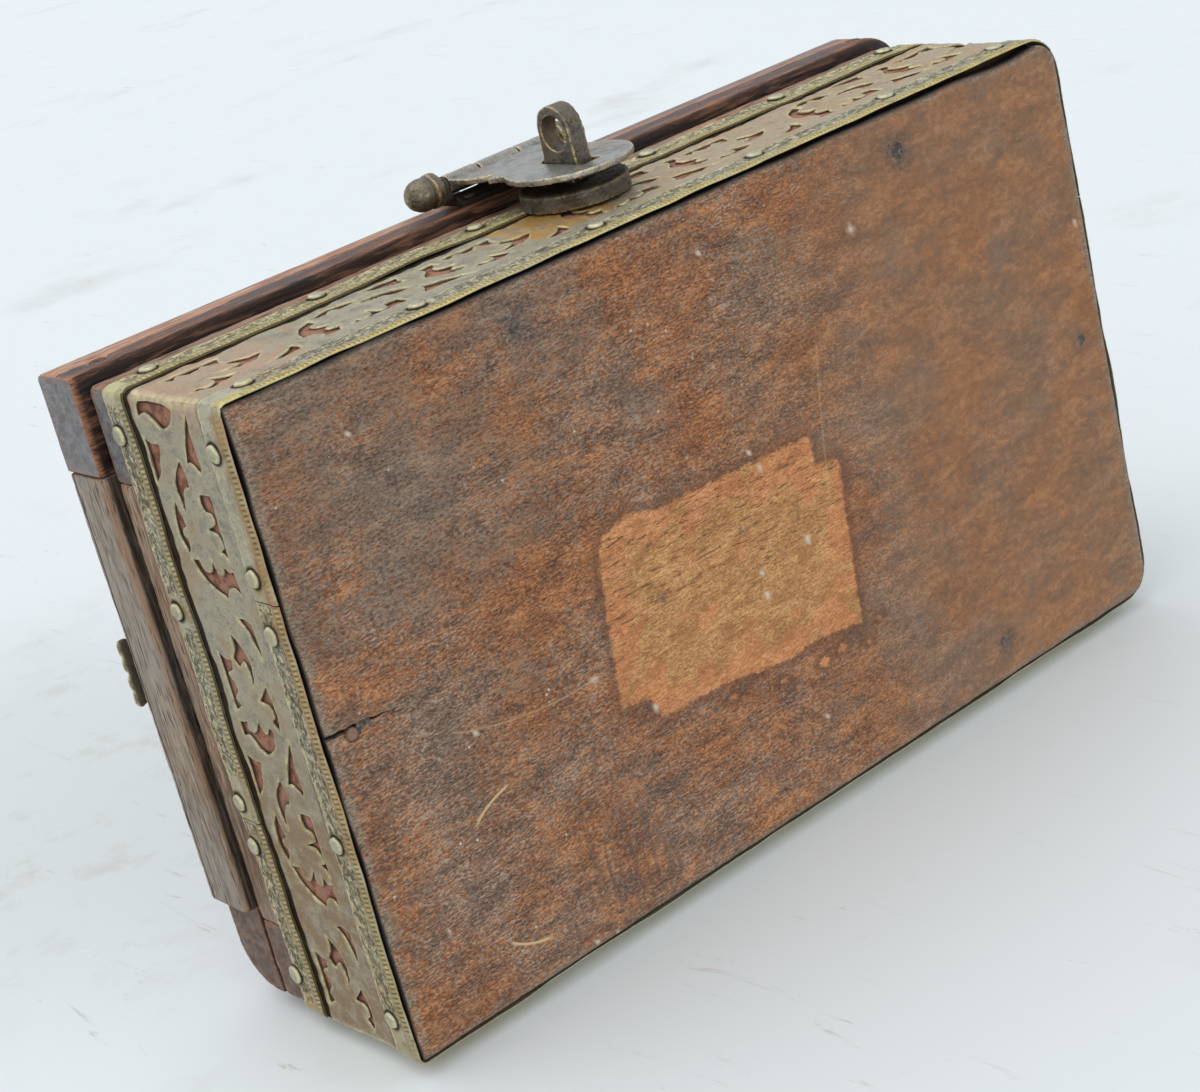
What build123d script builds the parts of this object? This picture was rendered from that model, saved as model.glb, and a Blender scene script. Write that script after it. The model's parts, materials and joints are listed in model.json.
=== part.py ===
from build123d import *
import os

os.makedirs("parts", exist_ok=True)

# Small wooden dowry chest (damchiya) with pierced brass mounts.
# Millimetres.  Origin: centre of the underside.  +X to the right seen from
# the front, +Y towards the hinges, +Z up.

# ---------------------------------------------------------------- driving sizes
case_length = 237.6        # wood, left to right
case_width = 143.1         # wood, front to back
case_height = 53.0         # wood, underside of the bottom board to the rim
left_corner_radius = 1.2   # the left upright corners are nearly sharp
right_corner_radius = 8.0  # the right upright corners are well rounded

bottom_board_thickness = 6.0
bottom_board_inset = 0.4
front_board_thickness = 21.0
back_board_thickness = 19.5
end_board_thickness = 18.0

lid_gap = 0.4
lid_rail_height = 14.2
lid_overhang = 3.0
lid_front_rail_width = 22.0
lid_back_rail_width = 22.0
lid_end_rail_width = 20.0
lid_edge_softening = 1.0
lid_back_round = 11.0
lid_nail_rise = 5.5
panel_back_reveal = 0.6
panel_nail_end_inset = 7.0
panel_nail_inner_x = 38.0
panel_nail_front_inset = 8.0
panel_nail_back_inset = 4.5
panel_thickness = 5.0
panel_rebate = 2.4
panel_reveal = 4.3
panel_fit = 0.15

edging_thickness = 0.45
bead_proud = 0.15
bead_height = 3.2
lower_edging_low = 1.2
lower_edging_width = 8.1
upper_edging_below_rim = 15.7
upper_edging_width = 7.7
edging_joint_gap = 0.3
lower_joint_y = -31.75
upper_joint_y = 24.25
band_thickness = 0.4
band_under_lower_edging = 3.8
band_under_upper_edging = 2.2
backing_thickness = 0.2
backing_under_lower_edging = 0.3
backing_under_upper_edging = 1.7

motif_pitch = 70.0
motif_height = 28.0        # the openwork's drawn height, edging to edging
motif_end_margin = 1.5
front_vine_start = -44.0
back_vine_start = 18.0
left_vine_start = 72.75
right_vine_start = 41.0

tack_head_radius = 2.0
tack_head_height = 0.9
tack_shank_radius = 0.6
tack_length = 7.0
tack_clearance = 0.03
tack_crown_share = 0.8     # share of the head's height that is rounded
tack_above_bead = 0.35
tack_corner_inset = 9.0
tack_round_corner_inset = 13.2
lower_front_tack_xs = (-68.0, -20.5, 26.0, 68.0)
upper_front_tack_xs = (-68.0, -25.0, 26.0, 68.0)
lower_side_tack_y = 21.6
upper_side_tack_y = -24.0
lower_joint_tack_offsets = (-5.05, 7.15)
upper_joint_tack_offsets = (-3.95, 6.55)

nail_radius = 0.9
nail_clearance = 0.03
nail_head_radius = 2.2
nail_head_thickness = 0.9
nail_head_sunk = 0.3
corner_nail_grip = 13.0
corner_nail_rise = 18.0    # lower row, above the bottom board
corner_nail_drop = 4.0     # upper row, below the rim
bottom_nail_grip = 14.0
bottom_nail_inset = 9.5
bottom_nail_front_xs = (-51.0, 62.0)
bottom_nail_back_xs = (-60.0, 65.0)
bottom_nail_end_y = 1.5
panel_nail_grip = 4.0

latch_x = -3.5
latch_below_rim = 20.0
collar_radius = 12.3
collar_thickness = 4.7
collar_rim_round = 0.9
staple_thickness = 4.5
staple_base_width = 11.4
staple_reach = 20.9        # from the brass face to the tip
staple_tip_radius = 5.2
eye_radius = 3.1
eye_back_from_tip = 6.0
shank_width = 6.0
shank_clearance = 0.1
tail_length = 9.0
tail_thickness = 1.6
rove_width = 14.0
rove_thickness = 1.0

hasp_pin_reach = 7.0       # pin axis in front of the brass face
hasp_pin_above_lid_edge = 6.0
hasp_pin_radius = 1.4
hasp_running_fit = 0.06
hasp_knuckle_radius = 2.3
hasp_plate_thickness = 1.4
hasp_plate_offset = 1.3    # outer face of the plate in front of the pin axis
hasp_top_half_width = 15.0
hasp_disc_radius = 14.5
hasp_shoulder_half_width = 14.5
hasp_shoulder_drop = 5.8   # below the pin
hasp_neck_half_width = 12.7
hasp_waist_half_width = 9.6
hasp_waist_rise = 13.8     # above the latch centre, as are the next three
hasp_cusp_half_width = 13.4
hasp_cusp_rise = 12.4
hasp_cusp_bow = 12.2
hasp_bow_rise = 10.7
hasp_disc_rise = 8.14
hasp_slot_width = 5.3
hasp_slot_drop = 8.0
hasp_slot_rise = 6.4
hasp_slot_point = 2.2
bracket_knuckle_half = 5.6
bracket_half_width = 14.0
bracket_thickness = 1.2
bracket_above_lid_edge = 2.2
bracket_below_rail_top = 2.0
bracket_web = 2.0
bracket_tack_end_inset = 3.2
bracket_tack_edge_inset = 2.5
knuckle_side_gap = 0.4
finial_spacing = 44.0      # centre to centre of the two balls
finial_radius = 3.75
finial_ring_radius = 3.95
finial_ring_length = 2.6
finial_ring_bevel = 0.4
finial_neck_inset = 0.3
finial_grip = 3.0
finial_tip_radius = 0.8
finial_tip_length = 0.4

hinge_x = 70.0
hinge_leaf_width = 26.0
hinge_leaf_height = 7.4
hinge_leaf_thickness = 1.0
hinge_axis_out = 2.3       # pin axis behind the wood
hinge_knuckle_radius = 2.0
hinge_pin_radius = 0.9
hinge_running_fit = 0.05
hinge_centre_knuckle = 10.0
hinge_side_gap = 0.3
hinge_pin_overrun = 0.6
hinge_tack_end_inset = 4.5
hinge_tack_edge_inset = 2.6

strap_width = 16.0
strap_thickness = 0.9
strap_overrun = 1.7
strap_y = -5.5
strap_tack_length = 5.0
strap_tack_count = 6
strap_tack_end_inset = 15.5
scallop_radius = 2.2

cut_margin = 1.0           # how far a cutting shape runs past what it cuts

# ---------------------------------------------------------------- derived places
half_length = case_length / 2
half_width = case_width / 2
front_y = -half_width
back_y = half_width
lower_edging_high = lower_edging_low + lower_edging_width
upper_edging_low = case_height - upper_edging_below_rim
band_low = lower_edging_high - band_under_lower_edging
band_high = upper_edging_low + band_under_upper_edging
backing_low = lower_edging_high - backing_under_lower_edging
backing_high = upper_edging_low + backing_under_upper_edging
band_out = backing_thickness + band_thickness
edging_out = band_out + edging_thickness
brass_front_y = front_y - edging_out
brass_face_y = brass_front_y - bead_proud

inside_front_y = front_y + front_board_thickness
inside_back_y = back_y - back_board_thickness
inside_x = half_length - end_board_thickness
end_board_mid_x = half_length - end_board_thickness / 2

lid_bottom_z = case_height + lid_gap
lid_rail_top_z = lid_bottom_z + lid_rail_height
lid_half_length = half_length + lid_overhang
lid_front_y = front_y - lid_overhang
lid_inside_front_y = lid_front_y + lid_front_rail_width
lid_inside_back_y = back_y - lid_back_rail_width
lid_inside_x = lid_half_length - lid_end_rail_width
lid_end_mid_x = lid_half_length - lid_end_rail_width / 2
panel_bottom_z = lid_rail_top_z - panel_rebate
panel_top_z = panel_bottom_z + panel_thickness
panel_front_y = lid_front_y + panel_reveal
panel_back_y = back_y - lid_back_round - panel_back_reveal
panel_half_length = lid_half_length - panel_reveal
panel_mid_y = (panel_front_y + panel_back_y) / 2
panel_length_y = panel_back_y - panel_front_y

latch_z = case_height - latch_below_rim
hasp_pin_y = brass_face_y - hasp_pin_reach
hasp_pin_z = lid_bottom_z + hasp_pin_above_lid_edge
bracket_low = lid_bottom_z + bracket_above_lid_edge
bracket_high = lid_rail_top_z - bracket_below_rail_top
hinge_axis_y = back_y + hinge_axis_out
hinge_axis_z = case_height + lid_gap / 2
collar_face_y = brass_face_y - collar_thickness
staple_tip_y = brass_face_y - staple_reach

tack_hole_radius = tack_shank_radius + tack_clearance
lower_tack_z = lower_edging_low + bead_height + tack_head_radius + tack_above_bead
upper_tack_z = upper_edging_low + bead_height + tack_head_radius + tack_above_bead
nail_hole_radius = nail_radius + nail_clearance

# Planes that look at each side of the case from outside: local x runs to the
# viewer's right, local y is up, and the origin is on the wood at z = 0.
front_face = Plane(origin=(0, front_y, 0), x_dir=(1, 0, 0), z_dir=(0, -1, 0))
back_face = Plane(origin=(0, back_y, 0), x_dir=(-1, 0, 0), z_dir=(0, 1, 0))
left_face = Plane(origin=(-half_length, 0, 0), x_dir=(0, -1, 0), z_dir=(-1, 0, 0))
right_face = Plane(origin=(half_length, 0, 0), x_dir=(0, 1, 0), z_dir=(1, 0, 0))
underside = Plane(origin=(0, 0, 0), x_dir=(1, 0, 0), z_dir=(0, 0, -1))

# ---------------------------------------------------------------- shared places
def tack_row(low_end, high_end, inner, height):
    """One row of tacks between two corners of a face."""
    return [(place, height) for place in (low_end, *inner, high_end)]


def mirrored(row):
    """The same row seen from the other side."""
    return [(-place, height) for place, height in row]


lower_front_tacks = tack_row(-half_length + tack_corner_inset, half_length - tack_round_corner_inset,
                             lower_front_tack_xs, lower_tack_z)
upper_front_tacks = tack_row(-half_length + tack_corner_inset, half_length - tack_round_corner_inset,
                             upper_front_tack_xs, upper_tack_z)
lower_side_ys = [lower_joint_y + offset for offset in lower_joint_tack_offsets] + [lower_side_tack_y]
upper_side_ys = [upper_joint_y + offset for offset in upper_joint_tack_offsets] + [upper_side_tack_y]
lower_right_tacks = tack_row(front_y + tack_round_corner_inset, back_y - tack_round_corner_inset,
                             lower_side_ys, lower_tack_z)
upper_right_tacks = tack_row(front_y + tack_round_corner_inset, back_y - tack_round_corner_inset,
                             upper_side_ys, upper_tack_z)
lower_left_tacks = mirrored(tack_row(front_y + tack_corner_inset, back_y - tack_corner_inset,
                                     lower_side_ys, lower_tack_z))
upper_left_tacks = mirrored(tack_row(front_y + tack_corner_inset, back_y - tack_corner_inset,
                                     upper_side_ys, upper_tack_z))
tack_groups = [(front_face, lower_front_tacks, upper_front_tacks),
               (back_face, mirrored(lower_front_tacks), mirrored(upper_front_tacks)),
               (left_face, lower_left_tacks, upper_left_tacks),
               (right_face, lower_right_tacks, upper_right_tacks)]

bottom_nail_places = [(x, front_y + bottom_nail_inset) for x in bottom_nail_front_xs]
bottom_nail_places += [(x, back_y - bottom_nail_inset) for x in bottom_nail_back_xs]
bottom_nail_places += [(end_board_mid_x, bottom_nail_end_y), (-end_board_mid_x, -bottom_nail_end_y)]
corner_nail_heights = [bottom_board_thickness + corner_nail_rise, case_height - corner_nail_drop]
lid_nail_z = lid_bottom_z + lid_nail_rise
panel_nail_x = panel_half_length - panel_nail_end_inset
panel_nail_xs = (-panel_nail_x, -panel_nail_inner_x, panel_nail_inner_x, panel_nail_x)
panel_nail_rows = (panel_front_y + panel_nail_front_inset, panel_back_y - panel_nail_back_inset)
panel_nail_places = [(x, y) for y in panel_nail_rows for x in panel_nail_xs]


# ---------------------------------------------------------------- openwork motif
# One repeat of the vine, seen from outside with u running to the left and v up
# from the lower edging.
# Each opening is a closed loop of sides; a side is a smooth curve through its
# points, and sides meet at sharp corners.
vine_openings = [
    # teardrop beside the tendril
    [[(0.3, 22.9), (2.6, 24.4), (5.0, 24.2)], [(5.0, 24.2), (4.1, 21.2), (6.4, 17.6)],
     [(6.4, 17.6), (6.8, 15.7), (5.4, 12.8), (1.4, 9.9)],
     [(1.4, 9.9), (0.3, 12.4), (0.1, 17.4), (0.3, 22.9)]],
    # wedge over the tendril
    [[(9.9, 24.4), (19.4, 24.6)], [(19.4, 24.6), (15.8, 21.4), (11.2, 19.4)],
     [(11.2, 19.4), (10.9, 21.9), (9.9, 24.4)]],
    # small arch over the first stem
    [[(13.8, 13.8), (17.0, 17.1), (20.6, 18.1), (25.6, 16.4)], [(25.6, 16.4), (22.8, 16.7), (19.4, 15.3)],
     [(19.4, 15.3), (20.0, 14.0), (19.0, 13.3)], [(19.0, 13.3), (16.6, 12.8), (13.8, 13.8)]],
    # low wedge under the first stem
    [[(3.3, 4.4), (8.0, 8.0), (14.1, 10.6)], [(14.1, 10.6), (13.3, 8.0), (14.4, 5.4)],
     [(14.4, 5.4), (8.8, 5.5), (3.3, 4.4)]],
    # arch over the broad leaf
    [[(23.2, 20.6), (26.2, 22.5), (30.4, 22.7), (34.0, 21.3)], [(34.0, 21.3), (32.2, 20.0), (31.0, 20.2)],
     [(31.0, 20.2), (29.6, 20.8), (28.2, 18.7)], [(28.2, 18.7), (25.9, 19.6), (23.2, 20.6)]],
    # large crescent beyond the broad leaf
    [[(35.4, 20.4), (39.4, 17.3), (42.4, 10.6)], [(42.4, 10.6), (39.8, 9.0), (40.8, 5.5)],
     [(40.8, 5.5), (36.8, 5.3)], [(36.8, 5.3), (36.2, 7.6), (37.8, 9.3)],
     [(37.8, 9.3), (37.2, 11.4), (34.4, 12.9)], [(34.4, 12.9), (37.0, 14.0), (37.5, 16.3)],
     [(37.5, 16.3), (36.6, 17.6), (35.1, 18.0)], [(35.1, 18.0), (35.4, 20.4)]],
    # toothed gap under the broad leaf
    [[(20.2, 5.7), (20.3, 9.5)], [(20.3, 9.5), (22.2, 9.8), (23.8, 9.2)],
     [(23.8, 9.2), (24.6, 7.2), (26.2, 7.2), (27.6, 10.4)], [(27.6, 10.4), (28.3, 7.6), (30.0, 6.0)],
     [(30.0, 6.0), (31.2, 6.2), (32.0, 7.6)], [(32.0, 7.6), (32.6, 6.6), (34.4, 5.3)],
     [(34.4, 5.3), (20.2, 5.7)]],
    # comma after the tendril tip
    [[(46.8, 9.5), (50.2, 6.7), (54.6, 5.0)], [(54.6, 5.0), (50.0, 4.3), (45.6, 4.8)],
     [(45.6, 4.8), (47.0, 7.2), (46.8, 9.5)]],
    # top gap over the second leaf
    [[(56.0, 22.8), (70.3, 22.8)], [(70.3, 22.8), (69.9, 20.7), (68.4, 19.2)],
     [(68.4, 19.2), (67.2, 21.0), (65.6, 20.8), (64.2, 18.6)], [(64.2, 18.6), (62.8, 20.0), (61.4, 21.0)],
     [(61.4, 21.0), (59.8, 20.2), (58.9, 17.8)], [(58.9, 17.8), (57.1, 17.9), (56.0, 22.8)]],
    # low left gap of the second leaf
    [[(50.8, 14.4), (54.0, 15.1), (56.7, 17.1)], [(56.7, 17.1), (58.2, 15.8), (57.2, 14.0)],
     [(57.2, 14.0), (56.7, 12.6), (58.0, 11.8)], [(58.0, 11.8), (60.2, 12.0), (62.3, 12.4)],
     [(62.3, 12.4), (58.6, 10.3), (53.6, 10.9), (50.8, 14.4)]],
    # toothed gap under the second leaf
    [[(61.2, 7.2), (65.1, 11.2)], [(65.1, 11.2), (65.7, 8.6), (67.4, 7.0)],
     [(67.4, 7.0), (68.8, 7.2), (69.4, 8.4)], [(69.4, 8.4), (70.3, 8.0), (71.1, 7.0)],
     [(71.1, 7.0), (67.2, 5.6), (61.2, 7.2)]],
]


# ---------------------------------------------------------------- shared shapes
def case_outline(grow):
    """Plan of the case grown by one distance, each side with its own corner radius."""
    with BuildSketch() as outline:
        Rectangle(case_length + 2 * grow, case_width + 2 * grow)
        fillet(outline.vertices().group_by(Axis.X)[0], left_corner_radius + grow)
        fillet(outline.vertices().group_by(Axis.X)[-1], right_corner_radius + grow)
    return outline.sketch


def case_ring(low, high, inner, outer):
    """A sheet that runs round the whole case between two heights and two offsets."""
    with BuildPart() as ring:
        with BuildSketch(Plane.XY.offset(low)):
            add(case_outline(outer))
            add(case_outline(inner), mode=Mode.SUBTRACT)
        extrude(amount=high - low)
    return ring.part


def pegs(face, places, radius, deep, out):
    """Round pegs square to a face, from deep inside it to out in front of it."""
    with BuildPart() as group:
        with BuildSketch(face.offset(-deep)):
            with Locations(*places):
                Circle(radius)
        extrude(amount=deep + out)
    return group.part


def tacks(face, places, seat, length=tack_length):
    """Domed brass tacks with their heads on a surface that stands seat in front of the face."""
    with BuildPart() as group:
        with BuildSketch(face.offset(seat)):
            with Locations(*places):
                Circle(tack_head_radius)
        extrude(amount=tack_head_height)
        crown_edges = [
            edge for edge in group.edges().filter_by(GeomType.CIRCLE)
            if abs(face.to_local_coords(edge.center()).Z - seat - tack_head_height) < 0.01
        ]
        fillet(crown_edges, tack_head_height * tack_crown_share)
        with BuildSketch(face.offset(seat - length)):
            with Locations(*places):
                Circle(tack_shank_radius)
        extrude(amount=length)
    return group.part


def nails(face, places, grip, seat):
    """Flat-headed iron nails, heads sunk below a surface seat in front of the face."""
    with BuildPart() as group:
        with BuildSketch(face.offset(seat - nail_head_sunk - nail_head_thickness)):
            with Locations(*places):
                Circle(nail_head_radius)
        extrude(amount=nail_head_thickness)
        with BuildSketch(face.offset(seat - grip)):
            with Locations(*places):
                Circle(nail_radius)
        extrude(amount=grip - nail_head_sunk - nail_head_thickness)
    return group.part


def nail_holes(face, places, grip, seat):
    """The room those nails take in the wood, with their clearance."""
    with BuildPart() as room:
        with BuildSketch(face.offset(seat - nail_head_sunk - nail_head_thickness)):
            with Locations(*places):
                Circle(nail_head_radius + nail_clearance)
        extrude(amount=nail_head_sunk + nail_head_thickness)
        with BuildSketch(face.offset(seat - grip)):
            with Locations(*places):
                Circle(nail_hole_radius)
        extrude(amount=grip)
    return room.part


def shank_room():
    """The slot that the latch staple's shank takes through wood and brass."""
    with BuildPart() as room:
        with BuildSketch(front_face.offset(edging_out)):
            with Locations((latch_x, latch_z)):
                Rectangle(staple_thickness + 2 * shank_clearance, shank_width + 2 * shank_clearance)
        extrude(amount=-(front_board_thickness + edging_out))
    return room.part


def openwork(face, start, low_u, high_u):
    """The vine's openings along one face, as cutters through the pierced brass."""
    rise = (upper_edging_low - lower_edging_high) / motif_height
    with BuildPart() as cutters:
        with BuildSketch(face.offset(backing_thickness)):
            first = int((start - high_u) // motif_pitch) - 1
            last = int((start - low_u) // motif_pitch) + 1
            for repeat in range(first, last + 1):
                shift = start + repeat * motif_pitch
                for opening in vine_openings:
                    reach = [shift - u for side in opening for u, v in side]
                    if min(reach) < low_u + motif_end_margin or max(reach) > high_u - motif_end_margin:
                        continue
                    with BuildLine():
                        for side in opening:
                            path = [(shift - u, lower_edging_high + v * rise) for u, v in side]
                            if len(path) == 2:
                                Line(*path)
                            else:
                                Spline(*path)
                    make_face()
        extrude(amount=band_thickness)
    return cutters.part


def plan_slice(block, corners):
    """The part of a block that stands over one polygon of the plan."""
    with BuildPart() as piece:
        add(block)
        with BuildSketch(Plane.XY.offset(-cut_margin)):
            with BuildLine():
                Polyline(*corners, close=True)
            make_face()
        extrude(amount=2 * case_height, mode=Mode.INTERSECT)
    return piece.part


def rectangle(low_x, high_x, low_y, high_y):
    """The corners of a rectangle of the plan."""
    return [(low_x, low_y), (high_x, low_y), (high_x, high_y), (low_x, high_y)]


def edging(low, width):
    """A brass strip right round the case with a thicker milled bead on its lower edge."""
    with BuildPart() as strip:
        add(case_ring(low, low + width, band_out, edging_out))
        add(case_ring(low, low + bead_height, band_out, edging_out + bead_proud))
    return strip.part


def tack_holes(upper):
    """The holes of the lower or the upper row of tacks, on all four sides."""
    with BuildPart() as room:
        for face, lower_row, upper_row in tack_groups:
            row = upper_row if upper else lower_row
            add(pegs(face, row, tack_hole_radius, tack_length, edging_out + bead_proud))
    return room.part


def knuckle(axis_x, axis_y, axis_z, length, radius):
    """A solid barrel along X, centred on axis_x."""
    with BuildPart() as barrel:
        with BuildSketch(Plane(origin=(axis_x - length / 2, axis_y, axis_z), z_dir=(1, 0, 0))):
            Circle(radius)
        extrude(amount=length)
    return barrel.part


lower_tack_room = tack_holes(upper=False)
upper_tack_room = tack_holes(upper=True)
latch_shank_room = shank_room()

# ---------------------------------------------------------------- hinge places
hinge_bore_radius = hinge_pin_radius + hinge_running_fit
outer_knuckle = (hinge_leaf_width - hinge_centre_knuckle) / 2 - hinge_side_gap
outer_knuckle_x = hinge_leaf_width / 2 - outer_knuckle / 2
leaf_tack_x = hinge_leaf_width / 2 - hinge_tack_end_inset
case_leaf_low = case_height - hinge_leaf_height
lid_leaf_top = lid_bottom_z + hinge_leaf_height
case_leaf_tack_z = case_leaf_low + hinge_tack_edge_inset
lid_leaf_tack_z = lid_leaf_top - hinge_tack_edge_inset
leaf_room = hinge_leaf_thickness + cut_margin
hinge_tack_xs = [-(side * hinge_x + dx) for side in (-1, 1) for dx in (-leaf_tack_x, leaf_tack_x)]
hinge_case_tack_places = [(x, case_leaf_tack_z) for x in hinge_tack_xs]
hinge_lid_tack_places = [(x, lid_leaf_tack_z) for x in hinge_tack_xs]
hinge_case_tack_room = pegs(back_face, hinge_case_tack_places, tack_hole_radius, tack_length, leaf_room)
hinge_lid_tack_room = pegs(back_face, hinge_lid_tack_places, tack_hole_radius, tack_length, leaf_room)

# ---------------------------------------------------------------- case boards
wall_height = case_height - bottom_board_thickness
corner_nail_places = [(x, z) for x in (-end_board_mid_x, end_board_mid_x) for z in corner_nail_heights]
front_nail_grip = front_board_thickness + corner_nail_grip
back_nail_grip = back_board_thickness + corner_nail_grip
bottom_nail_length = bottom_board_thickness + bottom_nail_grip
bottom_nail_plan = [(x, -y) for x, y in bottom_nail_places]
bottom_nail_room = nail_holes(underside, bottom_nail_plan, bottom_nail_length, 0)

with BuildPart() as wall_block:
    with BuildSketch(Plane.XY.offset(bottom_board_thickness)):
        add(case_outline(0))
    extrude(amount=wall_height)
    for room in (lower_tack_room, upper_tack_room, latch_shank_room, bottom_nail_room,
                 nail_holes(front_face, corner_nail_places, front_nail_grip, 0),
                 nail_holes(back_face, corner_nail_places, back_nail_grip, 0), hinge_case_tack_room):
        add(room, mode=Mode.SUBTRACT)

with BuildPart() as front_board:
    add(plan_slice(wall_block.part, rectangle(-half_length, half_length, front_y, inside_front_y)))
front_board.part.label = "front_board"
export_step(front_board.part, "parts/front_board.step")

with BuildPart() as back_board:
    add(plan_slice(wall_block.part, rectangle(-half_length, half_length, inside_back_y, back_y)))
back_board.part.label = "back_board"
export_step(back_board.part, "parts/back_board.step")

with BuildPart() as left_board:
    add(plan_slice(wall_block.part, rectangle(-half_length, -inside_x, inside_front_y, inside_back_y)))
left_board.part.label = "left_board"
export_step(left_board.part, "parts/left_board.step")

with BuildPart() as right_board:
    add(plan_slice(wall_block.part, rectangle(inside_x, half_length, inside_front_y, inside_back_y)))
right_board.part.label = "right_board"
export_step(right_board.part, "parts/right_board.step")

with BuildPart() as bottom_board:
    with BuildSketch():
        add(case_outline(-bottom_board_inset))
    extrude(amount=bottom_board_thickness)
    add(bottom_nail_room, mode=Mode.SUBTRACT)
    add(lower_tack_room, mode=Mode.SUBTRACT)
bottom_board.part.label = "bottom_board"
export_step(bottom_board.part, "parts/bottom_board.step")

with BuildPart() as bottom_nails:
    add(nails(underside, bottom_nail_plan, bottom_nail_length, 0))
bottom_nails.part.label = "bottom_nails"
export_step(bottom_nails.part, "parts/bottom_nails.step")

with BuildPart() as case_corner_nails:
    add(nails(front_face, corner_nail_places, front_nail_grip, 0))
    add(nails(back_face, corner_nail_places, back_nail_grip, 0))
case_corner_nails.part.label = "case_corner_nails"
export_step(case_corner_nails.part, "parts/case_corner_nails.step")

# ---------------------------------------------------------------- red backing sheets
flat_left_x = -half_length + left_corner_radius
flat_right_x = half_length - right_corner_radius
backing_block = case_ring(backing_low, backing_high, 0, backing_thickness)
backing_reach = backing_thickness + cut_margin
backing_regions = {
    "front_backing": rectangle(flat_left_x, flat_right_x, front_y - backing_reach, front_y),
    "back_backing": rectangle(flat_left_x, flat_right_x, back_y, back_y + backing_reach),
    "left_backing": rectangle(-half_length - backing_reach, -half_length,
                              front_y + left_corner_radius, back_y - left_corner_radius),
    "right_backing": rectangle(half_length, half_length + backing_reach,
                               front_y + right_corner_radius, back_y - right_corner_radius),
}
for backing_name, region in backing_regions.items():
    with BuildPart() as backing:
        add(plan_slice(backing_block, region))
        add(lower_tack_room, mode=Mode.SUBTRACT)
        add(latch_shank_room, mode=Mode.SUBTRACT)
    backing.part.label = backing_name
    export_step(backing.part, f"parts/{backing_name}.step")

# ---------------------------------------------------------------- pierced vine bands
# The left corners are mitred; the front and back sheets wrap the round right corners.
band_block = case_ring(band_low, band_high, backing_thickness, band_out)
band_reach = band_out + cut_margin
mitre = left_corner_radius + band_reach
mitre_front = (-half_length + mitre, front_y + mitre)
mitre_back = (-half_length + mitre, back_y - mitre)
outer_front_left = (-half_length - band_reach, front_y - band_reach)
outer_back_left = (-half_length - band_reach, back_y + band_reach)
turn_front_y = front_y + right_corner_radius
turn_back_y = back_y - right_corner_radius
outer_right_x = half_length + band_reach
band_regions = {
    "front_pierced_band": [outer_front_left, (outer_right_x, front_y - band_reach),
                           (outer_right_x, turn_front_y), (flat_right_x, turn_front_y),
                           (flat_right_x, front_y + mitre), mitre_front],
    "back_pierced_band": [outer_back_left, (outer_right_x, back_y + band_reach),
                          (outer_right_x, turn_back_y), (flat_right_x, turn_back_y),
                          (flat_right_x, back_y - mitre), mitre_back],
    "left_pierced_band": [outer_front_left, mitre_front, mitre_back, outer_back_left],
    "right_pierced_band": rectangle(flat_right_x, outer_right_x, turn_front_y, turn_back_y),
}
band_openwork = {
    "front_pierced_band": openwork(front_face, front_vine_start, -half_length, flat_right_x),
    "back_pierced_band": openwork(back_face, back_vine_start, -flat_right_x, half_length),
    "left_pierced_band": openwork(left_face, left_vine_start, -half_width, half_width),
    "right_pierced_band": openwork(right_face, right_vine_start, turn_front_y, turn_back_y),
}
for band_name, region in band_regions.items():
    with BuildPart() as band:
        add(plan_slice(band_block, region))
        add(band_openwork[band_name], mode=Mode.SUBTRACT)
        add(lower_tack_room, mode=Mode.SUBTRACT)
        add(latch_shank_room, mode=Mode.SUBTRACT)
    band.part.label = band_name
    export_step(band.part, f"parts/{band_name}.step")

# ---------------------------------------------------------------- brass edging strips
far = case_length
edging_runs = {
    "lower_edging": (lower_edging_low, lower_edging_width, lower_joint_y, lower_tack_room),
    "upper_edging": (upper_edging_low, upper_edging_width, upper_joint_y, upper_tack_room),
}
for run_name, (low, width, joint_y, holes) in edging_runs.items():
    strip_block = edging(low, width)
    strip_regions = {
        "front": rectangle(-far, far, -far, joint_y - edging_joint_gap / 2),
        "back": rectangle(-far, far, joint_y + edging_joint_gap / 2, far),
    }
    for side, region in strip_regions.items():
        with BuildPart() as strip:
            add(plan_slice(strip_block, region))
            add(holes, mode=Mode.SUBTRACT)
        strip.part.label = f"{run_name}_{side}"
        export_step(strip.part, f"parts/{run_name}_{side}.step")

with BuildPart() as lower_edging_tacks:
    for face, lower_row, upper_row in tack_groups:
        add(tacks(face, lower_row, edging_out))
lower_edging_tacks.part.label = "lower_edging_tacks"
export_step(lower_edging_tacks.part, "parts/lower_edging_tacks.step")

with BuildPart() as upper_edging_tacks:
    for face, lower_row, upper_row in tack_groups:
        add(tacks(face, upper_row, edging_out))
upper_edging_tacks.part.label = "upper_edging_tacks"
export_step(upper_edging_tacks.part, "parts/upper_edging_tacks.step")

# ---------------------------------------------------------------- latch on the case
with BuildPart() as latch_collar:
    with BuildSketch(front_face.offset(-brass_face_y + front_y)):
        with Locations((latch_x, latch_z)):
            Circle(collar_radius)
            Rectangle(staple_thickness + 2 * shank_clearance, shank_width + 2 * shank_clearance,
                      mode=Mode.SUBTRACT)
    extrude(amount=collar_thickness)
    outer_rim = latch_collar.edges().filter_by(GeomType.CIRCLE).sort_by(Axis.Y)[0]
    fillet(outer_rim, collar_rim_round)
latch_collar.part.label = "latch_collar"
export_step(latch_collar.part, "parts/latch_collar.step")

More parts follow.
